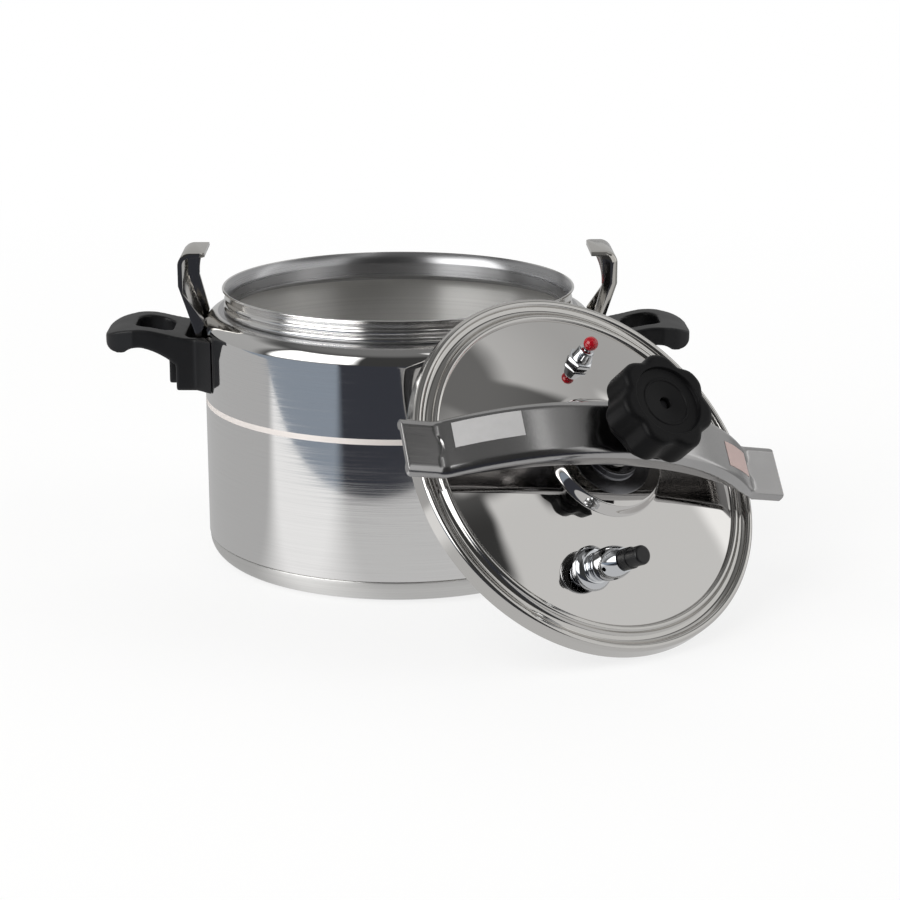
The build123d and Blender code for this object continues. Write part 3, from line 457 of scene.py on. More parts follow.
def with_tree(name, mesh, tree, values):
    """Object made plain from a mesh by a geometry tree with the given inputs."""
    maker = shown(name + "_maker", mesh)
    modifier = maker.modifiers.new("Form", "NODES")
    modifier.node_group = tree
    named = {item.name: item.identifier for item in tree.interface.items_tree if item.in_out == "INPUT"}
    for label, value in values.items():
        modifier[named[label]] = value
    return plain(maker, name)


def turned(name, outline, place, finish, steps=128, closed=False, lobes=None):
    """Piece turned from an outline of radius and height in millimetres."""
    outline = held(outline, closed)
    count = len(outline)
    edges = [(i, i + 1) for i in range(count - 1)] + ([(count - 1, 0)] if closed else [])
    mesh = bpy.data.meshes.new(name)
    mesh.from_pydata([(r * MM, 0, h * MM) for r, h in outline], edges, [])
    values = {"Steps": steps, "Core": 2 * MM, "Lobes": 1, "Valley": 0.0, "Lobe from": 0.0, "Lobe to": 1.0}
    values.update({"Lobe turn": 0.0, "Finish": finish}, **(lobes or {}))
    made = with_tree(name, mesh, tree_named("Turned piece", turned_tree), values)
    return settle(made, place)


def fit(maker, tool, operation, materials="INDEX"):
    """Joins the shape of a tool to an object or cuts it out, once the object is made plain."""
    fitted = maker.modifiers.new("Fitted", "BOOLEAN")
    fitted.operation, fitted.solver, fitted.object = operation, "EXACT", tool
    fitted.material_mode = materials


def drill(name, r, depth, places, steps, finish):
    """Round cutters of a radius and a depth at the given places, as one object."""
    bm = bmesh.new()
    for place in places:
        bmesh.ops.create_cone(
            bm, cap_ends=True, segments=steps, radius1=r, radius2=r, depth=depth, matrix=place
        )
    return meshed(name, bm, finish)


def node_mesh(node, flat=None):
    """Mesh copied from a node with its points joined, and its faces too that are flat to an angle."""
    mesh = frame["nodes"][node].data.copy()
    bm = bmesh.new()
    bm.from_mesh(mesh)
    bmesh.ops.remove_doubles(bm, verts=bm.verts, dist=SAME)
    if flat:
        bmesh.ops.dissolve_limit(bm, angle_limit=flat, verts=bm.verts, edges=bm.edges)
    bm.to_mesh(mesh)
    bm.free()
    return mesh


def copied(name, node, bevel, finish, web=None):
    """Piece copied from a node and joined to a web, its edges broken by a small bevel in millimetres."""
    mesh = node_mesh(node, FLAT)
    coat(mesh, finish)
    maker = shown(name + "_maker", mesh)
    if web:
        fit(maker, web, "UNION")
    edge = maker.modifiers.new("Broken edges", "BEVEL")
    edge.width, edge.segments = bevel * MM, 3
    edge.limit_method, edge.angle_limit = "ANGLE", radians(38)
    edge.use_clamp_overlap = True
    return settle(plain(maker, name))


def moulded(name, node, voxel, passes, finish):
    """Piece copied from a node and softened all over, as a moulding is."""
    maker = shown(name + "_maker", node_mesh(node))
    remesh = maker.modifiers.new("Even skin", "REMESH")
    remesh.mode, remesh.voxel_size = "VOXEL", voxel
    calm = maker.modifiers.new("Soft edges", "SMOOTH")
    calm.factor, calm.iterations = 0.5, passes
    made = plain(maker, name)
    coat(made.data, finish)
    return settle(made, sharp=pi)


def stand_for(piece, body, slot, *nodes):
    """Hangs a piece on the body it rides on and hides the nodes it stands for. The slot is not used."""
    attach(piece, body)
    if nodes:
        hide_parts(*nodes)


def paint(finish, *nodes):
    """Gives nodes that stay in view a finish."""
    for node in nodes:
        coat(frame["nodes"][node].data, finish)


def surface(name):
    """New material with its tree, its main shader and the object coordinates."""
    material = bpy.data.materials.new(name)
    material.use_nodes = True
    tree = material.node_tree
    return material, tree, tree.nodes["Principled BSDF"], add(tree, "ShaderNodeTexCoord")["Object"]


def shaded(tint, share):
    """Colour with its alpha, darkened to a share or lightened."""
    return (*(c * share for c in tint), 1)


def rings(tree, here, size, axis, drift):
    """Marks of a size drawn out into rings round the pot's axis, the height and the way the rings run.
    A slight drift along one axis lets a ring change on its way round."""
    split = add(tree, "ShaderNodeSeparateXYZ", {0: here})
    level = add(tree, "ShaderNodeVectorMath", {0: here, 1: (1, 1, 0)}, operation="MULTIPLY")[0]
    out = add(tree, "ShaderNodeVectorMath", {0: level}, operation="LENGTH")["Value"]
    aside = add(tree, "ShaderNodeMath", {0: split[axis], 1: drift}, operation="MULTIPLY")[0]
    drawn = add(tree, "ShaderNodeCombineXYZ", {"X": out, "Y": aside, "Z": split["Z"]})[0]
    marks = add(tree, "ShaderNodeTexNoise", {"Vector": drawn, "Scale": 1 / size, "Detail": 4})["Fac"]
    along = add(tree, "ShaderNodeVectorMath", {0: (0, 0, 1), 1: here}, operation="CROSS_PRODUCT")[0]
    return marks, split["Z"], along


def spun_aluminium(pot):
    """Spun aluminium, polished on the lathe: fine rings round the axis draw each reflection out along the
    height, and one stripe was left satin."""
    material, tree, shader, here = surface("Spun polished aluminium")
    # Rings of about 0.5 mm, coarser than the real tool marks so that they still show.
    marks, height, along = rings(tree, here, 0.5 * MM, "X", 0.006)
    # The neck over the shoulder has no rings, and it is a little duller.
    ends = pot.shoulder_z + 9 * MM, pot.shoulder_z - 2 * MM
    straight = add(tree, "ShaderNodeMapRange", span(height, *ends), **SOFT)[0]
    lines = add(tree, "ShaderNodeMath", {0: marks, 1: straight}, operation="MULTIPLY")[0]
    starts = pot.shoulder_z + 7 * MM, pot.shoulder_z + 10 * MM
    neck = add(tree, "ShaderNodeMapRange", span(height, *starts, 0.0, 0.12), **SOFT)[0]
    # Wiping marks of 45 mm.
    smear = add(tree, "ShaderNodeTexNoise", {"Vector": here, "Scale": 1 / (45 * MM), "Detail": 2})["Fac"]
    off = add(tree, "ShaderNodeMath", {0: height, 1: pot.stripe_z}, operation="SUBTRACT")[0]
    far = add(tree, "ShaderNodeMath", {0: off}, operation="ABSOLUTE")[0]
    sides = pot.stripe_w / 2, pot.stripe_w / 2 + 0.2 * MM
    band = add(tree, "ShaderNodeMapRange", span(far, *sides, 1.0, 0.0))[0]
    satin = add(tree, "ShaderNodeMapRange", span(lines, 0.40, 0.70), **SOFT)[0]
    ringed = {"Factor": lines, "A": shaded(pot.metal, 1), "B": shaded(pot.metal, 0.88)}
    metal = add(tree, "ShaderNodeMix", ringed, data_type="RGBA")["Result"]
    striped = {"Factor": band, "A": metal, "B": shaded(pot.stripe, 1)}
    tone = add(tree, "ShaderNodeMix", striped, data_type="RGBA")["Result"]
    shade = add(tree, "ShaderNodeMapRange", {"Value": smear, "To Min": 0.04, "To Max": 0.055})[0]
    worn = add(tree, "ShaderNodeMath", {0: shade, 1: neck}, operation="ADD")[0]
    grain = add(tree, "ShaderNodeMath", {0: satin, 1: 0.08, 2: worn}, operation="MULTIPLY_ADD")[0]
    bare = add(tree, "ShaderNodeMath", {0: band, 1: -0.8, 2: 1.0}, operation="MULTIPLY_ADD")[0]
    rough = add(tree, "ShaderNodeMath", {0: band, 1: 0.45, 2: grain}, operation="MULTIPLY_ADD")[0]
    bump = add(tree, "ShaderNodeBump", {"Height": lines, "Strength": 0.08, "Distance": 0.04 * MM})[0]
    feed(tree, shader, {"Base Color": tone, "Metallic": bare, "Roughness": rough, "Normal": bump})
    feed(tree, shader, {"Anisotropic": 0.8, "Anisotropic Rotation": 0.25, "Tangent": along})
    return material


def brushed_round(name, tint, low, high, drawn, bare=1.0):
    """Aluminium brushed round the axis: satin and pale, its rings draw each reflection into a column."""
    material, tree, shader, here = surface(name)
    # Brush marks of about 1 mm, drawn coarse so that they show.
    marks, _, along = rings(tree, here, 1.0 * MM, "Y", 0.008)
    rough = add(tree, "ShaderNodeMapRange", {"Value": marks, "To Min": low, "To Max": high})[0]
    brushed = {"Factor": marks, "A": shaded(tint, 0.8), "B": shaded(tint, 1)}
    tone = add(tree, "ShaderNodeMix", brushed, data_type="RGBA")["Result"]
    bump = add(tree, "ShaderNodeBump", {"Height": marks, "Strength": 0.18, "Distance": 0.06 * MM})[0]
    feed(tree, shader, {"Base Color": tone, "Metallic": bare, "Roughness": rough, "Normal": bump})
    feed(tree, shader, {"Anisotropic": drawn, "Anisotropic Rotation": 0.25, "Tangent": along})
    return material


def polished(name, tint, low, high, wave, place=Matrix.Identity(4)):
    """Buffed metal: long soft waves from the press bend its reflections, and wiping leaves faint haze."""
    material, tree, shader, here = surface(name)
    own = add(tree, "ShaderNodeMapping", placed(here, place), vector_type="TEXTURE")[0]
    # Press waves of 30 mm and buffing haze of 9 mm.
    waves = add(tree, "ShaderNodeTexNoise", {"Vector": own, "Scale": 1 / (30 * MM), "Detail": 1})["Fac"]
    haze = add(tree, "ShaderNodeTexNoise", {"Vector": own, "Scale": 1 / (9 * MM), "Detail": 4})["Fac"]
    rough = add(tree, "ShaderNodeMapRange", {"Value": haze, "To Min": low, "To Max": high})[0]
    bump = add(tree, "ShaderNodeBump", {"Height": waves, "Strength": wave, "Distance": 1.0 * MM})[0]
    feed(tree, shader, {"Base Color": shaded(tint, 1), "Metallic": 1.0, "Roughness": rough, "Normal": bump})
    return material


def brushed_steel(name, tint, place, stretch, low, high):
    """Steel brushed one way: long scratches beside each other, darker where the belt pressed harder."""
    material, tree, shader, here = surface(name)
    own = add(tree, "ShaderNodeMapping", placed(here, place, stretch), vector_type="TEXTURE")[0]
    # Scratches of about 0.4 mm, drawn coarser than the real grit so that they show, and wear of 22 mm.
    marks = add(tree, "ShaderNodeTexNoise", {"Vector": own, "Scale": 1 / (0.4 * MM), "Detail": 4})["Fac"]
    wear = add(tree, "ShaderNodeTexNoise", {"Vector": here, "Scale": 1 / (22 * MM), "Detail": 3})["Fac"]
    rough = add(tree, "ShaderNodeMapRange", {"Value": marks, "To Min": low, "To Max": high})[0]
    belted = {"Factor": wear, "A": shaded(tint, 0.82), "B": shaded(tint, 1)}
    tone = add(tree, "ShaderNodeMix", belted, data_type="RGBA")["Result"]
    bump = add(tree, "ShaderNodeBump", {"Height": marks, "Strength": 0.25, "Distance": 0.06 * MM})[0]
    feed(tree, shader, {"Base Color": tone, "Metallic": 1.0, "Roughness": rough, "Normal": bump})
    return material


def phenolic(name, tint, shine):
    """Black phenolic moulding: a fine matt grain from the tool, a little greyer where hands rub it."""
    material, tree, shader, here = surface(name)
    # Grain of 0.5 mm and rubbed patches of 12 mm.
    grain = add(tree, "ShaderNodeTexNoise", {"Vector": here, "Scale": 1 / (0.5 * MM), "Detail": 2})["Fac"]
    rub = add(tree, "ShaderNodeTexNoise", {"Vector": here, "Scale": 1 / (12 * MM), "Detail": 3})["Fac"]
    pale = (*(c * 1.5 + 0.001 for c in tint), 1)
    rubbed = {"Factor": rub, "A": shaded(tint, 1), "B": pale}
    tone = add(tree, "ShaderNodeMix", rubbed, data_type="RGBA")["Result"]
    rough = add(tree, "ShaderNodeMapRange", {"Value": rub, "To Min": 0.36, "To Max": 0.48})[0]
    bump = add(tree, "ShaderNodeBump", {"Height": grain, "Strength": 0.12, "Distance": 0.05 * MM})[0]
    feed(tree, shader, {"Base Color": tone, "Specular IOR Level": shine, "Roughness": rough, "Normal": bump})
    return material


def dyed(name, tint, low, high, coat_weight=0.0):
    """Dyed polymer or rubber: even colour with slight clouding and a moulded skin."""
    material, tree, shader, here = surface(name)
    # Clouding of 4 mm.
    cloud = add(tree, "ShaderNodeTexNoise", {"Vector": here, "Scale": 1 / (4 * MM), "Detail": 2})["Fac"]
    clouded = {"Factor": cloud, "A": shaded(tint, 0.86), "B": shaded(tint, 1)}
    tone = add(tree, "ShaderNodeMix", clouded, data_type="RGBA")["Result"]
    rough = add(tree, "ShaderNodeMapRange", {"Value": cloud, "To Min": low, "To Max": high})[0]
    feed(tree, shader, {"Base Color": tone, "Roughness": rough, "Coat Weight": coat_weight})
    return material


class COOKER_OT_pot(bpy.types.Operator):
    """Turn the pot and its capsule base"""

    bl_idname = "cooker.pot"
    bl_label = "Pot and base"

    def execute(self, context):
        pot = context.scene.cooker_pot
        shell = turned("pot_shell", self.wall_line(pot), Matrix.Identity(4), spun_aluminium(pot), steps=320)
        inner = brushed_round("Brushed aluminium inside", pot.inner, 0.29, 0.38, drawn=0.95, bare=0.76)
        neck = brushed_round("Satin aluminium neck", linear("#BFBFC1"), 0.24, 0.32, drawn=0.5)
        for finish in (inner, neck):
            shell.data.materials.append(finish)
        floor, neck_z, rim_z = 7 * MM, pot.shoulder_z + 4 * MM, pot.rim_z - 0.3 * MM
        for face in shell.data.polygons:
            middle = face.center
            out = Vector((middle.x, middle.y, 0)).normalized()
            looks_in = face.normal.dot(out) < -0.02 or face.normal.z > 0.98
            if looks_in and floor < middle.z < rim_z:
                face.material_index = 1 if middle.z < neck_z else 2
        stand_for(shell, "pot", "pot", "pot_body")
        satin = brushed_round("Turned aluminium base", pot.base, 0.26, 0.36, drawn=0.7)
        base = turned("pot_base", self.base_line(pot), Matrix.Identity(4), satin, steps=256)
        stand_for(base, "pot", "pot_base", "base_disc")
        return {"FINISHED"}

    def wall_line(self, pot):
        """Outline of the pot, from under its floor up the outside, over the rim and down the inside."""
        body, wall, rim = pot.body_r / MM, pot.wall / MM, pot.rim_r / MM
        rim_z, shoulder, seam = pot.rim_z / MM, pot.shoulder_z / MM, pot.seam_z / MM
        under, floor, tuck = 6.0, 7.6, body - 1.6
        rise, neck, mouth, bead = 10.0, rim - 3.0, 94.2, 4.2
        neck_z, top = shoulder + rise, neck + 1.0
        curve = ((body - top) ** 2 + rise**2) / (2 * (body - top))
        axis, inner, throat = body - curve, curve - wall, shoulder + curve - wall
        low, high = (top - 0.2, neck_z + bead), (neck, neck_z + 2 * bead)
        lip, edge, flare = (rim, rim_z - 0.8), (rim - 0.9, rim_z), (mouth + 0.8, rim_z - 6.0)
        line = [(0, under)] + rounded([(0, under), (tuck, under), (tuck, seam)], {1: 6.5}, count=8)[1:]
        line += rounded([(tuck, seam), (body, seam), (body, shoulder)], {1: 0.35}, count=3)[1:]
        on_curve = (axis + curve * cos(0.62), shoulder + curve * sin(0.62))
        line += arc((body, shoulder), on_curve, (top, neck_z), 28)
        line += arc((top, neck_z), (top + 1.3, neck_z + bead / 2), low, 28)
        line += arc(low, (top + 0.9, neck_z + 1.5 * bead), high, 28)
        line += arc(high, ((neck + rim) / 2 - 0.4, rim_z - 2.4), lip, 20)
        line += arc(lip, (rim - 0.25, rim_z - 0.2), edge, 6)
        line += arc(edge, (mouth + 2.2, rim_z - 2.6), flare, 12)
        line += rounded([flare, (mouth, throat), (axis, throat)], {1: 0.5}, count=4)[1:]
        half_way = (axis + inner * 0.7071, shoulder + inner * 0.7071)
        line += arc((axis, throat), half_way, (body - wall, shoulder), 12)
        inside = [(body - wall, shoulder), (body - wall, floor), (0, floor)]
        return line + rounded(inside, {1: 14.0}, count=12)[1:]

    def base_line(self, pot):
        """Outline of the capsule base, from under its middle up to the seam and back over its top."""
        outer, inner = pot.body_r / MM - 0.4, pot.body_r / MM - 1.5
        under, seam = 6.0, pot.seam_z / MM - 0.4
        line = [(0, 0)] + rounded([(0, 0), (outer, 0), (outer, seam)], {1: 11.6}, count=16)[1:]
        line[-1:] = rounded([line[-2], (outer, seam), (inner, seam)], {1: 0.35}, count=3)[1:]
        return line + rounded([(inner, seam), (inner, under), (0, under)], {1: 6.5}, count=8)[1:]


class COOKER_OT_hooks(bpy.types.Operator):
    """Finish the two pressed hooks"""

    bl_idname = "cooker.hooks"
    bl_label = "Hooks"

    def execute(self, context):
        steel = polished("Buffed stainless steel", context.scene.cooker_pot.steel, 0.07, 0.14, wave=0.10)
        for side, way in (("left", -1), ("right", 1)):
            web = self.web(side, way, steel)
            piece = copied(side + "_hook_plate", side + "_hook", 0.45, steel, web)
            drop(web)
            stand_for(piece, "pot", "hook", side + "_hook")
        return {"FINISHED"}

    def web(self, side, way, finish):
        """Web that runs from the tip of the lip down into the closed side of the hook."""
        tip, belly, low, deep = (109.8, 173.4), (112.5, 166.4), (113.5, 157.4), 116.0
        sides = (-19.4, -17.6)
        outline = [low] + arc(low, belly, tip, 10) + [(deep, tip[1]), (deep, low[1])]
        bm = bmesh.new()
        near, far = (
            [bm.verts.new((way * x * MM, way * y * MM, z * MM)) for x, z in outline] for y in sides
        )
        bm.faces.new(near)
        bm.faces.new(far[::-1])
        for i, vert in enumerate(near):
            bm.faces.new((vert, far[i], far[i - 1], near[i - 1]))
        bmesh.ops.recalc_face_normals(bm, faces=bm.faces)
        return meshed(side + "_web", bm, finish)


class COOKER_OT_handles(bpy.types.Operator):
    """Soften the two moulded handles and finish their fixings"""

    bl_idname = "cooker.handles"
    bl_label = "Handles"

    def execute(self, context):
        pot = context.scene.cooker_pot
        black = phenolic("Black phenolic handles", pot.black, shine=0.38)
        for side in ("left", "right"):
            piece = moulded(side + "_grip", side + "_handle", pot.soften, 8, black)
            self.slim(piece, pot)
            stand_for(piece, "pot", "handle", side + "_handle")
        steel = brushed_steel("Zinc-plated fixings", pot.steel, Matrix.Identity(4), 1.0, 0.28, 0.4)
        for part in ("stud", "washer", "nut"):
            paint(steel, "left_" + part, "right_" + part)
        return {"FINISHED"}

    def slim(self, piece, pot):
        """Raises the underside of the outer bar, which is slimmer than the arms."""
        rise, start, run, depth = 5.5 * MM, 26 * MM, 24 * MM, 24 * MM
        top = pot.shoulder_z + 2.6 * MM
        for vert in piece.data.vertices:
            out = min(max((abs(vert.co.x) - pot.body_r - start) / run, 0), 1)
            below = min(max((top - vert.co.z) / depth, 0), 1)
            vert.co.z += rise * eased(out) * below
        piece.data.update()


class COOKER_OT_lid(bpy.types.Operator):
    """Turn the lid, its gasket and the cup for the screw"""

    bl_idname = "cooker.lid"
    bl_label = "Lid"

    def execute(self, context):
        lid = context.scene.cooker_lid
        place = lid_matrix(lid)
        seat = -2.8
        mirror = polished("Mirror-polished aluminium", lid.mirror, 0.02, 0.05, wave=0.16, place=place)
        shell = turned("lid_dome", self.line(lid, seat), place, mirror, steps=256)
        shell.data.materials.append(
            polished("Turned aluminium edge", lid.edge, 0.07, 0.13, wave=0.12, place=place)
        )
        back = place.inverted()
        for face in shell.data.polygons:
            own = back @ face.center
            beaded = hypot(own.x, own.y) > lid.dome_edge + 0.2 * MM or own.z < -1.0 * MM
            face.material_index = 1 if beaded else 0
        stand_for(shell, "lid", "lid", "lid_shell")
        rubber = dyed("Black nitrile rubber", lid.rubber, 0.5, 0.7)
        ring = rounded(
            [(91.3, seat), (99.5, seat), (99.5, -5.8), (93.8, -5.8), (91.3, -4.4)],
            {0: 0.4, 1: 0.5, 2: 0.8, 3: 1.2, 4: 0.6},
            closed=True,
        )
        seal = turned("gasket_ring", ring, place, rubber, closed=True, steps=192)
        stand_for(seal, "lid", "gasket", "gasket")
        high = lid.boss_h / MM
        plate, wall_top = high + 1.0, high + 5.0
        cup_line = rounded(
            [(0, high), (24.0, high), (24.0, high + 0.3), (16.2, plate), (15.5, wall_top), (13.9, wall_top)]
            + [(13.9, plate), (0, plate)],
            {2: 0.12, 3: 1.0, 4: 0.5, 5: 0.5},
        )
        # The cup's dark grey tint is painted shade: it stands for the shade under the bridge.
        satin = polished("Satin steel cup in painted shade", linear("#77777A"), 0.18, 0.28, wave=0.03, place=place)
        cup = turned("screw_cup", cup_line, place, satin)
        stand_for(cup, "lid", "cup", "cup_disc", "cup_ring")
        return {"FINISHED"}

    def line(self, lid, seat):
        """Outline of the lid, from its centre over the dome and the edge beads, round the skirt and back."""
        edge, boss, high, low = lid.dome_edge / MM, lid.boss_r / MM, lid.boss_h / MM, lid.dome_low / MM
        outer, skirt, thick = lid.radius / MM, lid.skirt / MM, 1.9
        brow, foot, under = 30.4, boss + 1.2, boss - 0.4
        middle = (foot + edge) / 2
        foot_h, middle_h, under_h = (dome_h(lid, r * MM) / MM for r in (foot, middle, under))
        line = [(0, high), (brow, high)]
        # The step from the raised centre down to the dome is soft at both ends.
        for share in (i / 20 for i in range(1, 20)):
            line.append((brow + (foot - brow) * share, high - (high - foot_h) * eased(share)))
        line.append((foot, foot_h))
        line += arc((foot, foot_h), (middle, middle_h), (edge, low), 28)
        hollow, bead, side = (edge + 3.8, 0.9), (outer - 4.6, -0.3), (outer, -0.9)
        line += arc((edge, low), (edge + 1.9, 2.4), hollow, 10)
        line += arc(hollow, (edge + 6.3, -0.9), bead, 10)
        line += arc(bead, (outer - 2.0, 1.5), side, 14)
        lip = outer - 1.4
        line += rounded([side, (outer, -skirt), (lip, -skirt), (lip, seat)], {1: 0.6, 2: 0.6})[1:]
        # A low ring inside the skirt holds the gasket.
        ring_out, ring_in, ring_low = 91.1, 89.7, -4.8
        line += [(ring_out, seat), (ring_out, ring_low), (ring_in, ring_low), (ring_in, -1.3)]
        line.append((edge, low - thick))
        line += arc((edge, low - thick), (middle, middle_h - thick), (under, under_h - thick), 16)
        return line + [(boss - 2.4, high - thick), (0, high - thick)]


class COOKER_OT_bridge(bpy.types.Operator):
    """Finish the bridge and its bush, and lay the two bare labels on it"""

    bl_idname = "cooker.bridge"
    bl_label = "Bridge"

    def execute(self, context):
        bridge = context.scene.cooker_bridge
        place = lid_matrix(context.scene.cooker_lid)
        steel = brushed_steel("Brushed stainless bridge", bridge.steel, place, 60.0, 0.14, 0.24)
        bar = self.bar("bridge_bar", bridge, steel, place)
        stand_for(bar, "bridge", "bridge", "yoke_bar")
        top, bore, neck, flange = bridge.crown / MM, 6.05, 9.0, 12.0
        low, high = top - 10, top + 2.6
        bush_line = rounded(
            [(bore, low), (neck, low), (neck, top), (flange, top), (flange, high), (bore, high)],
            {0: 0.3, 1: 0.4, 3: 0.2, 4: 0.8, 5: 0.3},
            closed=True,
        )
        turned_steel = brushed_steel("Turned steel bush", bridge.screw, place, 1.0, 0.2, 0.34)
        bush = turned("bridge_bush", bush_line, place, turned_steel, closed=True)
        stand_for(bush, "bridge", "bush", "yoke_bush")
        paint(turned_steel, "yoke_ring")
        paper = dyed("Bare white paper label", bridge.label, 0.45, 0.6)
        tinted = dyed("Bare tinted film label", bridge.tag, 0.35, 0.5)
        for name, finish, along, across, skew in (
            ("white_label", paper, (-88.5, -58.5), (-2.3, 11.3), 0.0),
            ("tinted_label", tinted, (67.0, 91.0), (-7.0, 7.0), 0.10),
        ):
            self.label(name, bridge, finish, place, along, across, skew)
        return {"FINISHED"}

    def arch(self, bridge):
        """Radius of the arch and height of its middle, in millimetres."""
        rise = (bridge.crown - bridge.tongue_h) / MM
        radius = ((bridge.tongue_u / MM) ** 2 + rise**2) / (2 * rise)
        return radius, bridge.crown / MM - radius

    def stations(self, bridge):
        """Points along the top of the bar, from the screw to one end: place and height in mm, and lean."""
        arch, middle = self.arch(bridge)
        tongue_h, bend = bridge.tongue_h / MM, bridge.bend_r / MM
        bend_h = tongue_h + bend
        bend_u = sqrt((arch + bend) ** 2 - (bend_h - middle) ** 2)
        lean = asin(bend_u / (arch + bend))
        leans, bends = [lean * i / 44 for i in range(44)], [lean * (1 - i / 30) for i in range(31)]
        made = [(arch * sin(a), middle + arch * cos(a), a) for a in leans]
        made += [(bend_u - bend * sin(a), bend_h - bend * cos(a), a) for a in bends]
        turn = bridge.corner_r / MM
        straight = bridge.half / MM - turn
        made += [(bend_u + (straight - bend_u) * i / 8, tongue_h, 0.0) for i in range(1, 9)]
        return made + [(straight + turn * sin(pi / 24 * i), tongue_h, 0.0) for i in range(1, 13)]

    def section(self, bridge, u, h, lean):
        """Right half of the channel's outline at a station, along the skin and back along the roof, with the
        number of its points on the skin. A point is a distance across and a depth under the top, in mm."""
        end, edge, sheet = bridge.half / MM, bridge.edge_r / MM, bridge.sheet / MM
        low, high, foot = bridge.tongue_low / MM, bridge.side_crown / MM, bridge.tongue_u / MM
        lower = (foot**2 + (high - low) ** 2) / (2 * (high - low))
        deep = h - low
        # The depth square to the top is found by steps, because the lower edge is an arch of its own.
        for _ in range(24):
            at = u - deep * sin(lean)
            under = high - lower + sqrt(lower**2 - at * at) if at < foot else low
            deep = (h - under) / cos(lean)
        half, turn, soft, nose = bridge.width / MM / 2, bridge.corner_r / MM, 0.5, 0.9
        flat = half - edge
        beyond = u - (end - turn)
        if beyond > 0:
            half -= turn - sqrt(max(turn**2 - beyond**2, 0))
        worn = max(0.0, u - end + nose)
        sunk = nose - sqrt(nose**2 - worn**2) if worn < nose else nose
        whole = deep - soft > edge
        outer = min(asin((half - flat) / edge), pi / 2 if whole else acos((edge - deep + soft) / edge))
        inside, shift = edge - sheet, half - edge
        inner = pi / 2 if whole else acos(min((edge - deep + soft) / inside, 1.0))
        skin = [(flat * i / 12, sunk) for i in range(12)]
        roof = [(shift * i / 12, sheet) for i in range(12)]
        for share in (i / 8 for i in range(9)):
            skin.append((flat + edge * sin(outer * share), max(sunk, edge - edge * cos(outer * share))))
            roof.append((shift + inside * sin(inner * share), edge - inside * cos(inner * share)))
        for line, inward in ((skin, -1), (roof, 1)):
            across, top = line[-1]
            line += [(across, top + (deep - soft - top) * i / 4) for i in range(1, 5)]
            for a in (pi / 6, pi / 3, pi / 2):
                line.append((across + inward * soft * (1 - cos(a)), deep - soft * (1 - sin(a))))
        return skin + roof[::-1], len(skin)

    def bar(self, name, bridge, finish, place):
        """Pressed channel along both halves of the arch, marked in its bends and cut for the bush."""
        path = self.stations(bridge)
        flat_h, stamp, slope = bridge.tongue_h / MM, bridge.stamp_r / MM, 0.5
        mark = max(u for u, h, lean in path if lean > 0) + 4.2
        bm = bmesh.new()
        rings_made = []
        for way, run in ((-1, path[:0:-1]), (1, path)):
            for u, h, lean in run:
                right, count = self.section(bridge, u, h, lean)
                ring = []
                for side, points in ((1, right), (-1, right[::-1])):
                    for i, (w, depth) in enumerate(points):
                        on_top = i < count if side > 0 else i >= len(points) - count
                        inside = min(1.0, max(0.0, (stamp - hypot(u - mark, w)) / slope))
                        press = max(0.0, h - flat_h) * inside if on_top else 0.0
                        lower = depth + press * cos(lean)
                        ring.append((way * (u - lower * sin(lean)), side * w, h - lower * cos(lean)))
                rings_made.append([bm.verts.new([c * MM for c in point]) for point in ring])
        size = len(rings_made[0])
        for a, b in zip(rings_made, rings_made[1:]):
            for i in range(size):
                j = (i + 1) % size
                bm.faces.new((a[i], a[j], b[j], b[i]))
        quarter = size // 4
        for ring in (rings_made[0], rings_made[-1]):
            for start in (0, 2 * quarter):
                middle = start + quarter
                outer, inner = ring[start:middle], ring[middle : middle + quarter][::-1]
                for i in range(quarter - 1):
                    bm.faces.new((outer[i], outer[i + 1], inner[i + 1], inner[i]))
        bmesh.ops.remove_doubles(bm, verts=bm.verts, dist=SAME)
        bmesh.ops.dissolve_degenerate(bm, edges=bm.edges, dist=SAME / 2)
        bmesh.ops.recalc_face_normals(bm, faces=bm.faces)
        maker = meshed(name + "_maker", bm, finish)
        at = Matrix.Translation((0, 0, bridge.crown))
        hole = drill(name + "_drill", 9.1 * MM, 20 * MM, [at], 64, finish)
        fit(maker, hole, "DIFFERENCE")
        made = plain(maker, name)
        drop(hole)
        return settle(made, place)

    def label(self, name, bridge, finish, place, along, across, skew):
        """Thin sheet that follows the arch of the bridge, its place and size in millimetres."""
        arch, middle = self.arch(bridge)
        (start, end), gap, thick, steps = along, 0.06, 0.12, 24
        bm = bmesh.new()
        rows = []
        for u in (start + (end - start) * i / steps for i in range(steps + 1)):
            lift = middle + sqrt((arch + gap) ** 2 - u * u)
            shift = skew * (u - (start + end) / 2)
            rows.append([bm.verts.new((u * MM, (w + shift) * MM, lift * MM)) for w in across])
        for a, b in zip(rows, rows[1:]):
            bm.faces.new((a[0], b[0], b[1], a[1]))
        made = bmesh.ops.extrude_face_region(bm, geom=bm.faces[:])
        raised = [v for v in made["geom"] if isinstance(v, bmesh.types.BMVert)]
        bmesh.ops.translate(bm, verts=raised, vec=(0, 0, thick * MM))
        piece = settle(meshed(name, bm, finish), place)
        stand_for(piece, "bridge", "bridge")


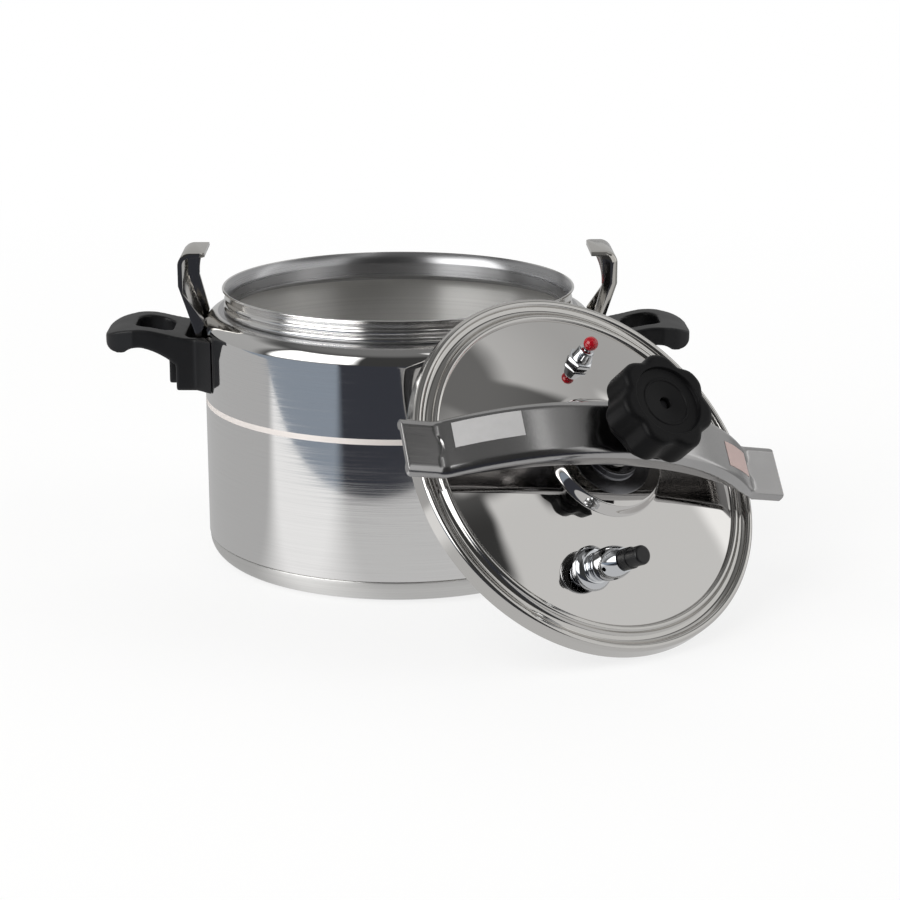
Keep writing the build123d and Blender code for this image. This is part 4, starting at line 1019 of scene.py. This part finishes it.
class COOKER_OT_screw(bpy.types.Operator):
    """Turn the screw with its thread, and its foot"""

    bl_idname = "cooker.screw"
    bl_label = "Screw"

    def execute(self, context):
        bridge = context.scene.cooker_bridge
        place = lid_matrix(context.scene.cooker_lid)
        steel = brushed_steel("Turned steel screw", bridge.screw, place, 1.0, 0.18, 0.3)
        crest, pitch, ridge = bridge.screw_r / MM, bridge.pitch / MM, 0.85
        low, start, end, top = 23.3, 28.6, 51.0, 70.0
        tip, root = 4.0, crest - 0.9
        core = rounded(
            [(0, low), (tip, low), (tip, start - 1.0), (root, start), (root, top), (0, top)], {1: 0.4}
        )
        stem = turned("screw_core", core, Matrix.Identity(4), steel, steps=64)
        mesh = stem.data
        bpy.data.objects.remove(stem)
        values = {
            "Turns": (end - start) / pitch,
            "Start": start * MM,
            "Height": (end - start) * MM,
            "Radius": (crest - ridge) * MM,
            "Ridge": ridge * MM,
            "Finish": steel,
        }
        wound = with_tree("screw_thread", mesh, tree_named("Screw thread", thread_tree), values)
        settle(wound, place)
        stand_for(wound, "screw", "screw", "spindle")
        sole, pad, pad_top, socket, socket_low = 21.8, 11.0, 27.3, 4.05, 23.0
        foot_line = rounded(
            [(0, sole), (9.0, sole), (pad, 23.8), (pad, 25.8), (8.5, pad_top)]
            + [(socket, pad_top), (socket, socket_low), (0, socket_low)],
            {1: 0.8, 2: 0.8, 3: 0.5, 4: 0.8},
        )
        foot = turned("screw_pad", foot_line, place, steel)
        stand_for(foot, "foot", "screw", "screw_foot")
        return {"FINISHED"}


class COOKER_OT_knob(bpy.types.Operator):
    """Turn the lobed knob"""

    bl_idname = "cooker.knob"
    bl_label = "Knob"

    def execute(self, context):
        bridge = context.scene.cooker_bridge
        place = lid_matrix(context.scene.cooker_lid)
        r, neck, bore, hole = bridge.knob_r / MM, 21.2, 9.1, 3.0
        low, lobe, top, dish, stop = 52.0, 57.0, 77.5, 75.5, 70.0
        line = rounded(
            [(bore, stop), (bore, low), (neck, low), (neck, lobe), (r, lobe), (r, top), (18.5, top)]
            + [(18.0, dish), (13.0, 75.2), (12.7, dish), (11.9, dish), (11.6, 75.1), (hole, 74.35)]
            + [(hole, stop)],
            {1: 0.4, 2: 1.2, 3: 1.2, 4: 3.4, 5: 3.2, 6: 0.5, 7: 0.4, 9: 0.2, 10: 0.2, 12: 0.6},
            closed=True,
            count=8,
        )
        lobes = {
            "Lobes": bridge.lobes,
            "Valley": bridge.valley,
            "Lobe from": 18.6 * MM,
            "Lobe to": 23.4 * MM,
            "Lobe turn": radians(-15.0),
        }
        black = phenolic("Black phenolic knob", bridge.black, shine=0.15)
        knob = turned("lobed_knob", line, place, black, steps=224, closed=True, lobes=lobes)
        stand_for(knob, "screw", "knob", "knob")
        paint(brushed_steel("Turned brass insert", linear("#B8944C"), place, 1.0, 0.25, 0.35), "knob_insert")
        # The screw at the bottom of the knob's hole is painted near black, as painted shade down the hole.
        paint(brushed_steel("Dark steel screw as painted hole shade", linear("#2A2A2C"), place, 1.0, 0.35, 0.5), "knob_screw")
        return {"FINISHED"}


class COOKER_OT_regulator(bpy.types.Operator):
    """Turn the pressure regulator: body, hood and cap"""

    bl_idname = "cooker.regulator"
    bl_label = "Pressure regulator"

    def execute(self, context):
        lid = context.scene.cooker_lid
        place = valve_matrix(lid, lid.regulator_r, lid.regulator_at)
        chrome = polished("Bright chrome plate", lid.chrome, 0.04, 0.08, wave=0.02, place=place)
        end, stem, collar, nozzle, tip = -9.0, 5.0, 7.0, 3.0, 11.6
        body = rounded(
            [(0, end), (stem, end), (stem, 1.2), (collar, 1.2), (collar, 2.6), (nozzle, 2.6)]
            + [(nozzle, tip), (0, tip)],
            {1: 0.5, 3: 0.3, 4: 0.5, 6: 0.5},
        )
        seat = turned("regulator_seat", body, place, chrome, steps=96)
        stand_for(seat, "lid", "valve", "regulator_body")
        lean = weight_matrix(lid, tip * MM)
        black = dyed("Black polyamide cap", linear("#0D0D0F"), 0.28, 0.4)
        top, skirt, grip = 32.1, 5.6, 5.0
        hood = self.weight("regulator_weight", top, lean, chrome, black)
        stand_for(hood, "weight", "valve", "regulator_hood")
        cap_top = top + 14.0
        cap_line = rounded(
            [(0, top), (skirt, top), (skirt, top + 5.5), (grip, top + 5.9), (grip, cap_top), (0, cap_top)],
            {1: 0.4, 2: 0.3, 3: 0.3, 4: 1.3},
        )
        cap = turned("regulator_tip", cap_line, lean, black, steps=96)
        stand_for(cap, "weight", "valve_cap", "regulator_cap")
        paint(chrome, "regulator_nut", "regulator_washer")
        return {"FINISHED"}

    def weight(self, name, top, place, finish, shade):
        """Loose weight: a domed flange, a waist and a rounded hood with six steam vents."""
        low, bore, bore_top = 4.6, 5.4, 15.2
        flange, waist, hood = (11.75, 7.4), (7.6, 10.3), (7.4, 12.9)
        line = rounded([(bore, bore_top), (bore, low), (flange[0], low), flange], {1: 0.3, 2: 0.6})
        line += arc(flange, (10.2, 9.4), waist, 8)
        line += arc(waist, (6.9, 11.6), hood, 8)
        line += arc(hood, (8.75, 19.5), (6.2, top), 24)
        line += [(0, top), (0, bore_top)]
        made = turned(name, line, Matrix.Identity(4), finish, steps=96, closed=True)
        at, tilt = Matrix.Translation((7.6 * MM, 0, 24.0 * MM)), Matrix.Rotation(radians(72), 4, "Y")
        places = [Matrix.Rotation(pi / 3 * (turn + 0.5), 4, "Z") @ at @ tilt for turn in range(6)]
        # The vent walls take the black finish as painted shade inside the holes.
        vents = drill(name + "_drill", 1.2 * MM, 5.0 * MM, places, 24, shade)
        fit(made, vents, "DIFFERENCE", "TRANSFER")
        cut = plain(made, name)
        drop(vents)
        return settle(cut, place)


class COOKER_OT_safety(bpy.types.Operator):
    """Finish the safety valve and its red ball"""

    bl_idname = "cooker.safety"
    bl_label = "Safety valve"

    def execute(self, context):
        lid = context.scene.cooker_lid
        place = valve_matrix(lid, lid.safety_r, lid.safety_at)
        chrome = bpy.data.materials["Bright chrome plate"]
        body = copied("safety_seat", "safety_body", 0.3, chrome)
        stand_for(body, "lid", "valve", "safety_body")
        r, at = 3.85, 14.65
        ball_line = [(0, at - r)] + arc((0, at - r), (r, at), (0, at + r), 32)
        red = dyed("Glossy red polymer ball", lid.ball, 0.10, 0.16, coat_weight=0.5)
        ball = turned("safety_bead", ball_line, place, red, steps=48)
        stand_for(ball, "pin", "safety_ball", "safety_ball")
        paint(chrome, "safety_nut", "safety_stem")
        paint(bpy.data.materials["Black nitrile rubber"], "safety_washer")
        return {"FINISHED"}


class COOKER_OT_stage(bpy.types.Operator):
    """Lay the floor and set the light and the camera"""

    bl_idname = "cooker.stage"
    bl_label = "Stage"

    def execute(self, context):
        stage, scene = context.scene.cooker_stage, context.scene
        scene.view_settings.view_transform = "Standard"
        self.floor(stage)
        self.world(stage, scene)
        aim = Vector((0.03, -0.05, 0.08))
        for name, at, size, power in (
            ("Soft key", (-1.1, -1.0, 1.9), (1.6, 1.6), 24.0),
            ("Soft fill", (1.9, -0.3, 1.1), (1.2, 1.6), 11.0),
            ("Back wash", (0.2, 1.6, 1.7), (2.4, 1.0), 14.0),
        ):
            lamp = bpy.data.lights.new(name, "AREA")
            lamp.shape, lamp.energy = "RECTANGLE", power
            lamp.size, lamp.size_y = size
            holder = shown(name, lamp)
            holder.location = at
            holder.rotation_euler = (aim - Vector(at)).to_track_quat("-Z", "Y").to_euler()
            # Polished metal shows the sheets of the studio, not these lamps.
            holder.visible_glossy = False
        eye = bpy.data.cameras.new("Photo camera")
        eye.lens, eye.sensor_width, eye.sensor_fit = stage.lens, 36.0, "HORIZONTAL"
        eye.clip_end = 40.0
        camera = shown("Photo camera", eye)
        camera.location = stage.camera
        camera.rotation_euler = Euler((pi / 2 - stage.down, 0, -stage.aside))
        scene.camera = camera
        return {"FINISHED"}

    def floor(self, stage):
        """Pale floor, white to the camera, that keeps the shadow. Metal sees painted light on it instead: a
        painted pool of light that dims to the right and behind, and past a straight edge where the pool
        ends, painted shade for the dim side of the studio."""
        material, tree, shader, here = surface("Pale paper floor")
        feed(tree, shader, {"Base Color": shaded(stage.floor, 1), "Roughness": 0.9})
        edge_way, lane_way, back_way = (0.253, 0.967, 0), (1, -0.695, 0), (-0.177, 1, 0)
        inner, lane, behind = (
            add(tree, "ShaderNodeVectorMath", {0: here, 1: way}, operation="DOT_PRODUCT")["Value"]
            for way in (edge_way, lane_way, back_way)
        )
        # Masks of the painted light: dark is where the painted pool ends, aside and away dim the pool to the
        # right and behind.
        dark = add(tree, "ShaderNodeMapRange", span(inner, -0.303, -0.311), **SOFT)[0]
        aside = add(tree, "ShaderNodeMapRange", span(lane, 0.0, 0.08, 1.0, 0.62), **SOFT)[0]
        away = add(tree, "ShaderNodeMapRange", span(behind, -0.095, -0.05, 1.0, 0.5), **SOFT)[0]
        pale = add(tree, "ShaderNodeMath", {0: aside, 1: away}, operation="MULTIPLY")[0]
        painted_pool = add(tree, "ShaderNodeCombineColor", {0: pale, 1: pale, 2: pale})[0]
        right = add(tree, "ShaderNodeMapRange", span(lane, 0.01, 0.07), **SOFT)[0]
        dim = {"Factor": right, "A": shaded(stage.painted_left_shade, 1), "B": shaded(stage.painted_floor_shade, 1)}
        painted_floor_shade = add(tree, "ShaderNodeMix", dim, data_type="RGBA")["Result"]
        seen = {"Factor": dark, "A": painted_pool, "B": painted_floor_shade}
        tone = add(tree, "ShaderNodeMix", seen, data_type="RGBA")["Result"]
        ray = add(tree, "ShaderNodeLightPath")
        white = add(tree, "ShaderNodeEmission", {"Color": (1, 1, 1, 1), "Strength": 1.0})[0]
        # Glossy rays see this painted reflection of light and shade in place of the lit floor.
        painted_reflection = add(tree, "ShaderNodeEmission", {"Color": tone, "Strength": 1.0})[0]
        far = add(tree, "ShaderNodeVectorMath", {0: here}, operation="LENGTH")["Value"]
        glow = add(tree, "ShaderNodeMapRange", span(far, 0.35, 1.3, 0.78, 1.0), **SOFT)[0]
        share = add(tree, "ShaderNodeMath", {0: ray["Is Camera Ray"], 1: glow}, operation="MULTIPLY")[0]
        lit = add(tree, "ShaderNodeMixShader", {0: share, 1: shader.outputs[0], 2: white})[0]
        both = add(tree, "ShaderNodeMixShader", {0: ray["Is Glossy Ray"], 1: lit, 2: painted_reflection})[0]
        feed(tree, tree.nodes["Material Output"], {"Surface": both})
        mesh = bpy.data.meshes.new("floor")
        mesh.from_pydata([(-9, -6, 0), (9, -6, 0), (9, 12, 0), (-9, 12, 0)], [], [(0, 1, 2, 3)])
        mesh.materials.append(material)
        ground = shown("floor", mesh)

    def world(self, stage, scene):
        """Dim studio, white to the camera, with hung white sheets. Each has its bearing, half its width, its
        lower and upper edge and the softness of its edges in degrees, and its brightness."""
        world = bpy.data.worlds.new("Studio")
        world.use_nodes = True
        tree = world.node_tree
        tree.nodes.clear()
        way = add(tree, "ShaderNodeTexCoord")["Generated"]
        split = add(tree, "ShaderNodeSeparateXYZ", {0: way})
        height = add(tree, "ShaderNodeMath", {0: split["Z"]}, operation="ARCSINE")[0]
        light = add(tree, "ShaderNodeMapRange", span(split["Z"], 0.70, 0.95, 0.05, 0.19), **SOFT)[0]
        for facing, half, low, high, soft, level in (
            (-12, 38.5, -20, 43, 2.5, 0.74),
            (-40, 10.5, 43, 52, 2.5, 0.74),
            (66, 50, -20, 66, 3, 0.46),
            (217, 26, 4, 46, 5, 3.20),
            (152, 30, -20, 45, 8, 0.40),
            (306, 6, 56, 74, 3, 1.00),
            (326, 12, 56, 75, 5, 0.20),
        ):
            there = (cos(radians(facing)), sin(radians(facing)), 0)
            back = (-there[1], there[0], 0)
            ahead = add(tree, "ShaderNodeVectorMath", {0: way, 1: there}, operation="DOT_PRODUCT")["Value"]
            across = add(tree, "ShaderNodeVectorMath", {0: way, 1: back}, operation="DOT_PRODUCT")["Value"]
            turn = add(tree, "ShaderNodeMath", {0: across, 1: ahead}, operation="ARCTAN2")[0]
            off = add(tree, "ShaderNodeMath", {0: turn}, operation="ABSOLUTE")[0]
            sides = radians(half + soft), radians(half - soft)
            wide = add(tree, "ShaderNodeMapRange", span(off, *sides), **SOFT)[0]
            tops = radians(high + soft), radians(high - soft)
            under = add(tree, "ShaderNodeMapRange", span(height, *tops, 0.0, level), **SOFT)[0]
            feet = radians(low - soft), radians(low + soft)
            over = add(tree, "ShaderNodeMapRange", span(height, *feet), **SOFT)[0]
            tall = add(tree, "ShaderNodeMath", {0: under, 1: over}, operation="MULTIPLY")[0]
            light = add(tree, "ShaderNodeMath", {0: tall, 1: wide, 2: light}, operation="MULTIPLY_ADD")[0]
        ray = add(tree, "ShaderNodeLightPath")
        studio = add(tree, "ShaderNodeBackground", {"Color": shaded(stage.light, 1), "Strength": light})[0]
        white = add(tree, "ShaderNodeBackground", {"Color": (1, 1, 1, 1), "Strength": 1.0})[0]
        both = add(tree, "ShaderNodeMixShader", {0: ray["Is Camera Ray"], 1: studio, 2: white})[0]
        add(tree, "ShaderNodeOutputWorld", {"Surface": both})
        scene.world = world


OPERATORS = (
    COOKER_OT_pot,
    COOKER_OT_hooks,
    COOKER_OT_handles,
    COOKER_OT_lid,
    COOKER_OT_bridge,
    COOKER_OT_screw,
    COOKER_OT_knob,
    COOKER_OT_regulator,
    COOKER_OT_safety,
    COOKER_OT_stage,
)


def slot_name(group):
    """Name under which the scene holds a group of settings."""
    return "cooker_" + group.__name__.removeprefix("Cooker").lower()


class COOKER_PT_panel(bpy.types.Panel):
    """Lists the steps and their sizes in the sidebar"""

    bl_idname = "COOKER_PT_panel"
    bl_label = "Pressure cooker"
    bl_space_type = "VIEW_3D"
    bl_region_type = "UI"
    bl_category = "Cooker"

    def draw(self, context):
        for operator in OPERATORS:
            self.layout.operator(operator.bl_idname)
        for group in SETTINGS:
            owner = getattr(context.scene, slot_name(group))
            box = self.layout.box()
            for name in group.__annotations__:
                box.prop(owner, name)


def register():
    """Registers the classes and gives the scene its settings."""
    for item in (*SETTINGS, *OPERATORS, COOKER_PT_panel):
        bpy.utils.register_class(item)
    for group in SETTINGS:
        setattr(bpy.types.Scene, slot_name(group), bpy.props.PointerProperty(type=group))


def unregister():
    """Takes the settings and the classes away again."""
    for group in SETTINGS:
        delattr(bpy.types.Scene, slot_name(group))
    for item in (COOKER_PT_panel, *reversed(OPERATORS), *reversed(SETTINGS)):
        bpy.utils.unregister_class(item)


def main():
    """Builds every piece and the stage."""
    register()
    bpy.ops.cooker.pot()
    bpy.ops.cooker.hooks()
    bpy.ops.cooker.handles()
    bpy.ops.cooker.lid()
    bpy.ops.cooker.bridge()
    bpy.ops.cooker.screw()
    bpy.ops.cooker.knob()
    bpy.ops.cooker.regulator()
    bpy.ops.cooker.safety()
    bpy.ops.cooker.stage()


if __name__ == "__main__":
    main()
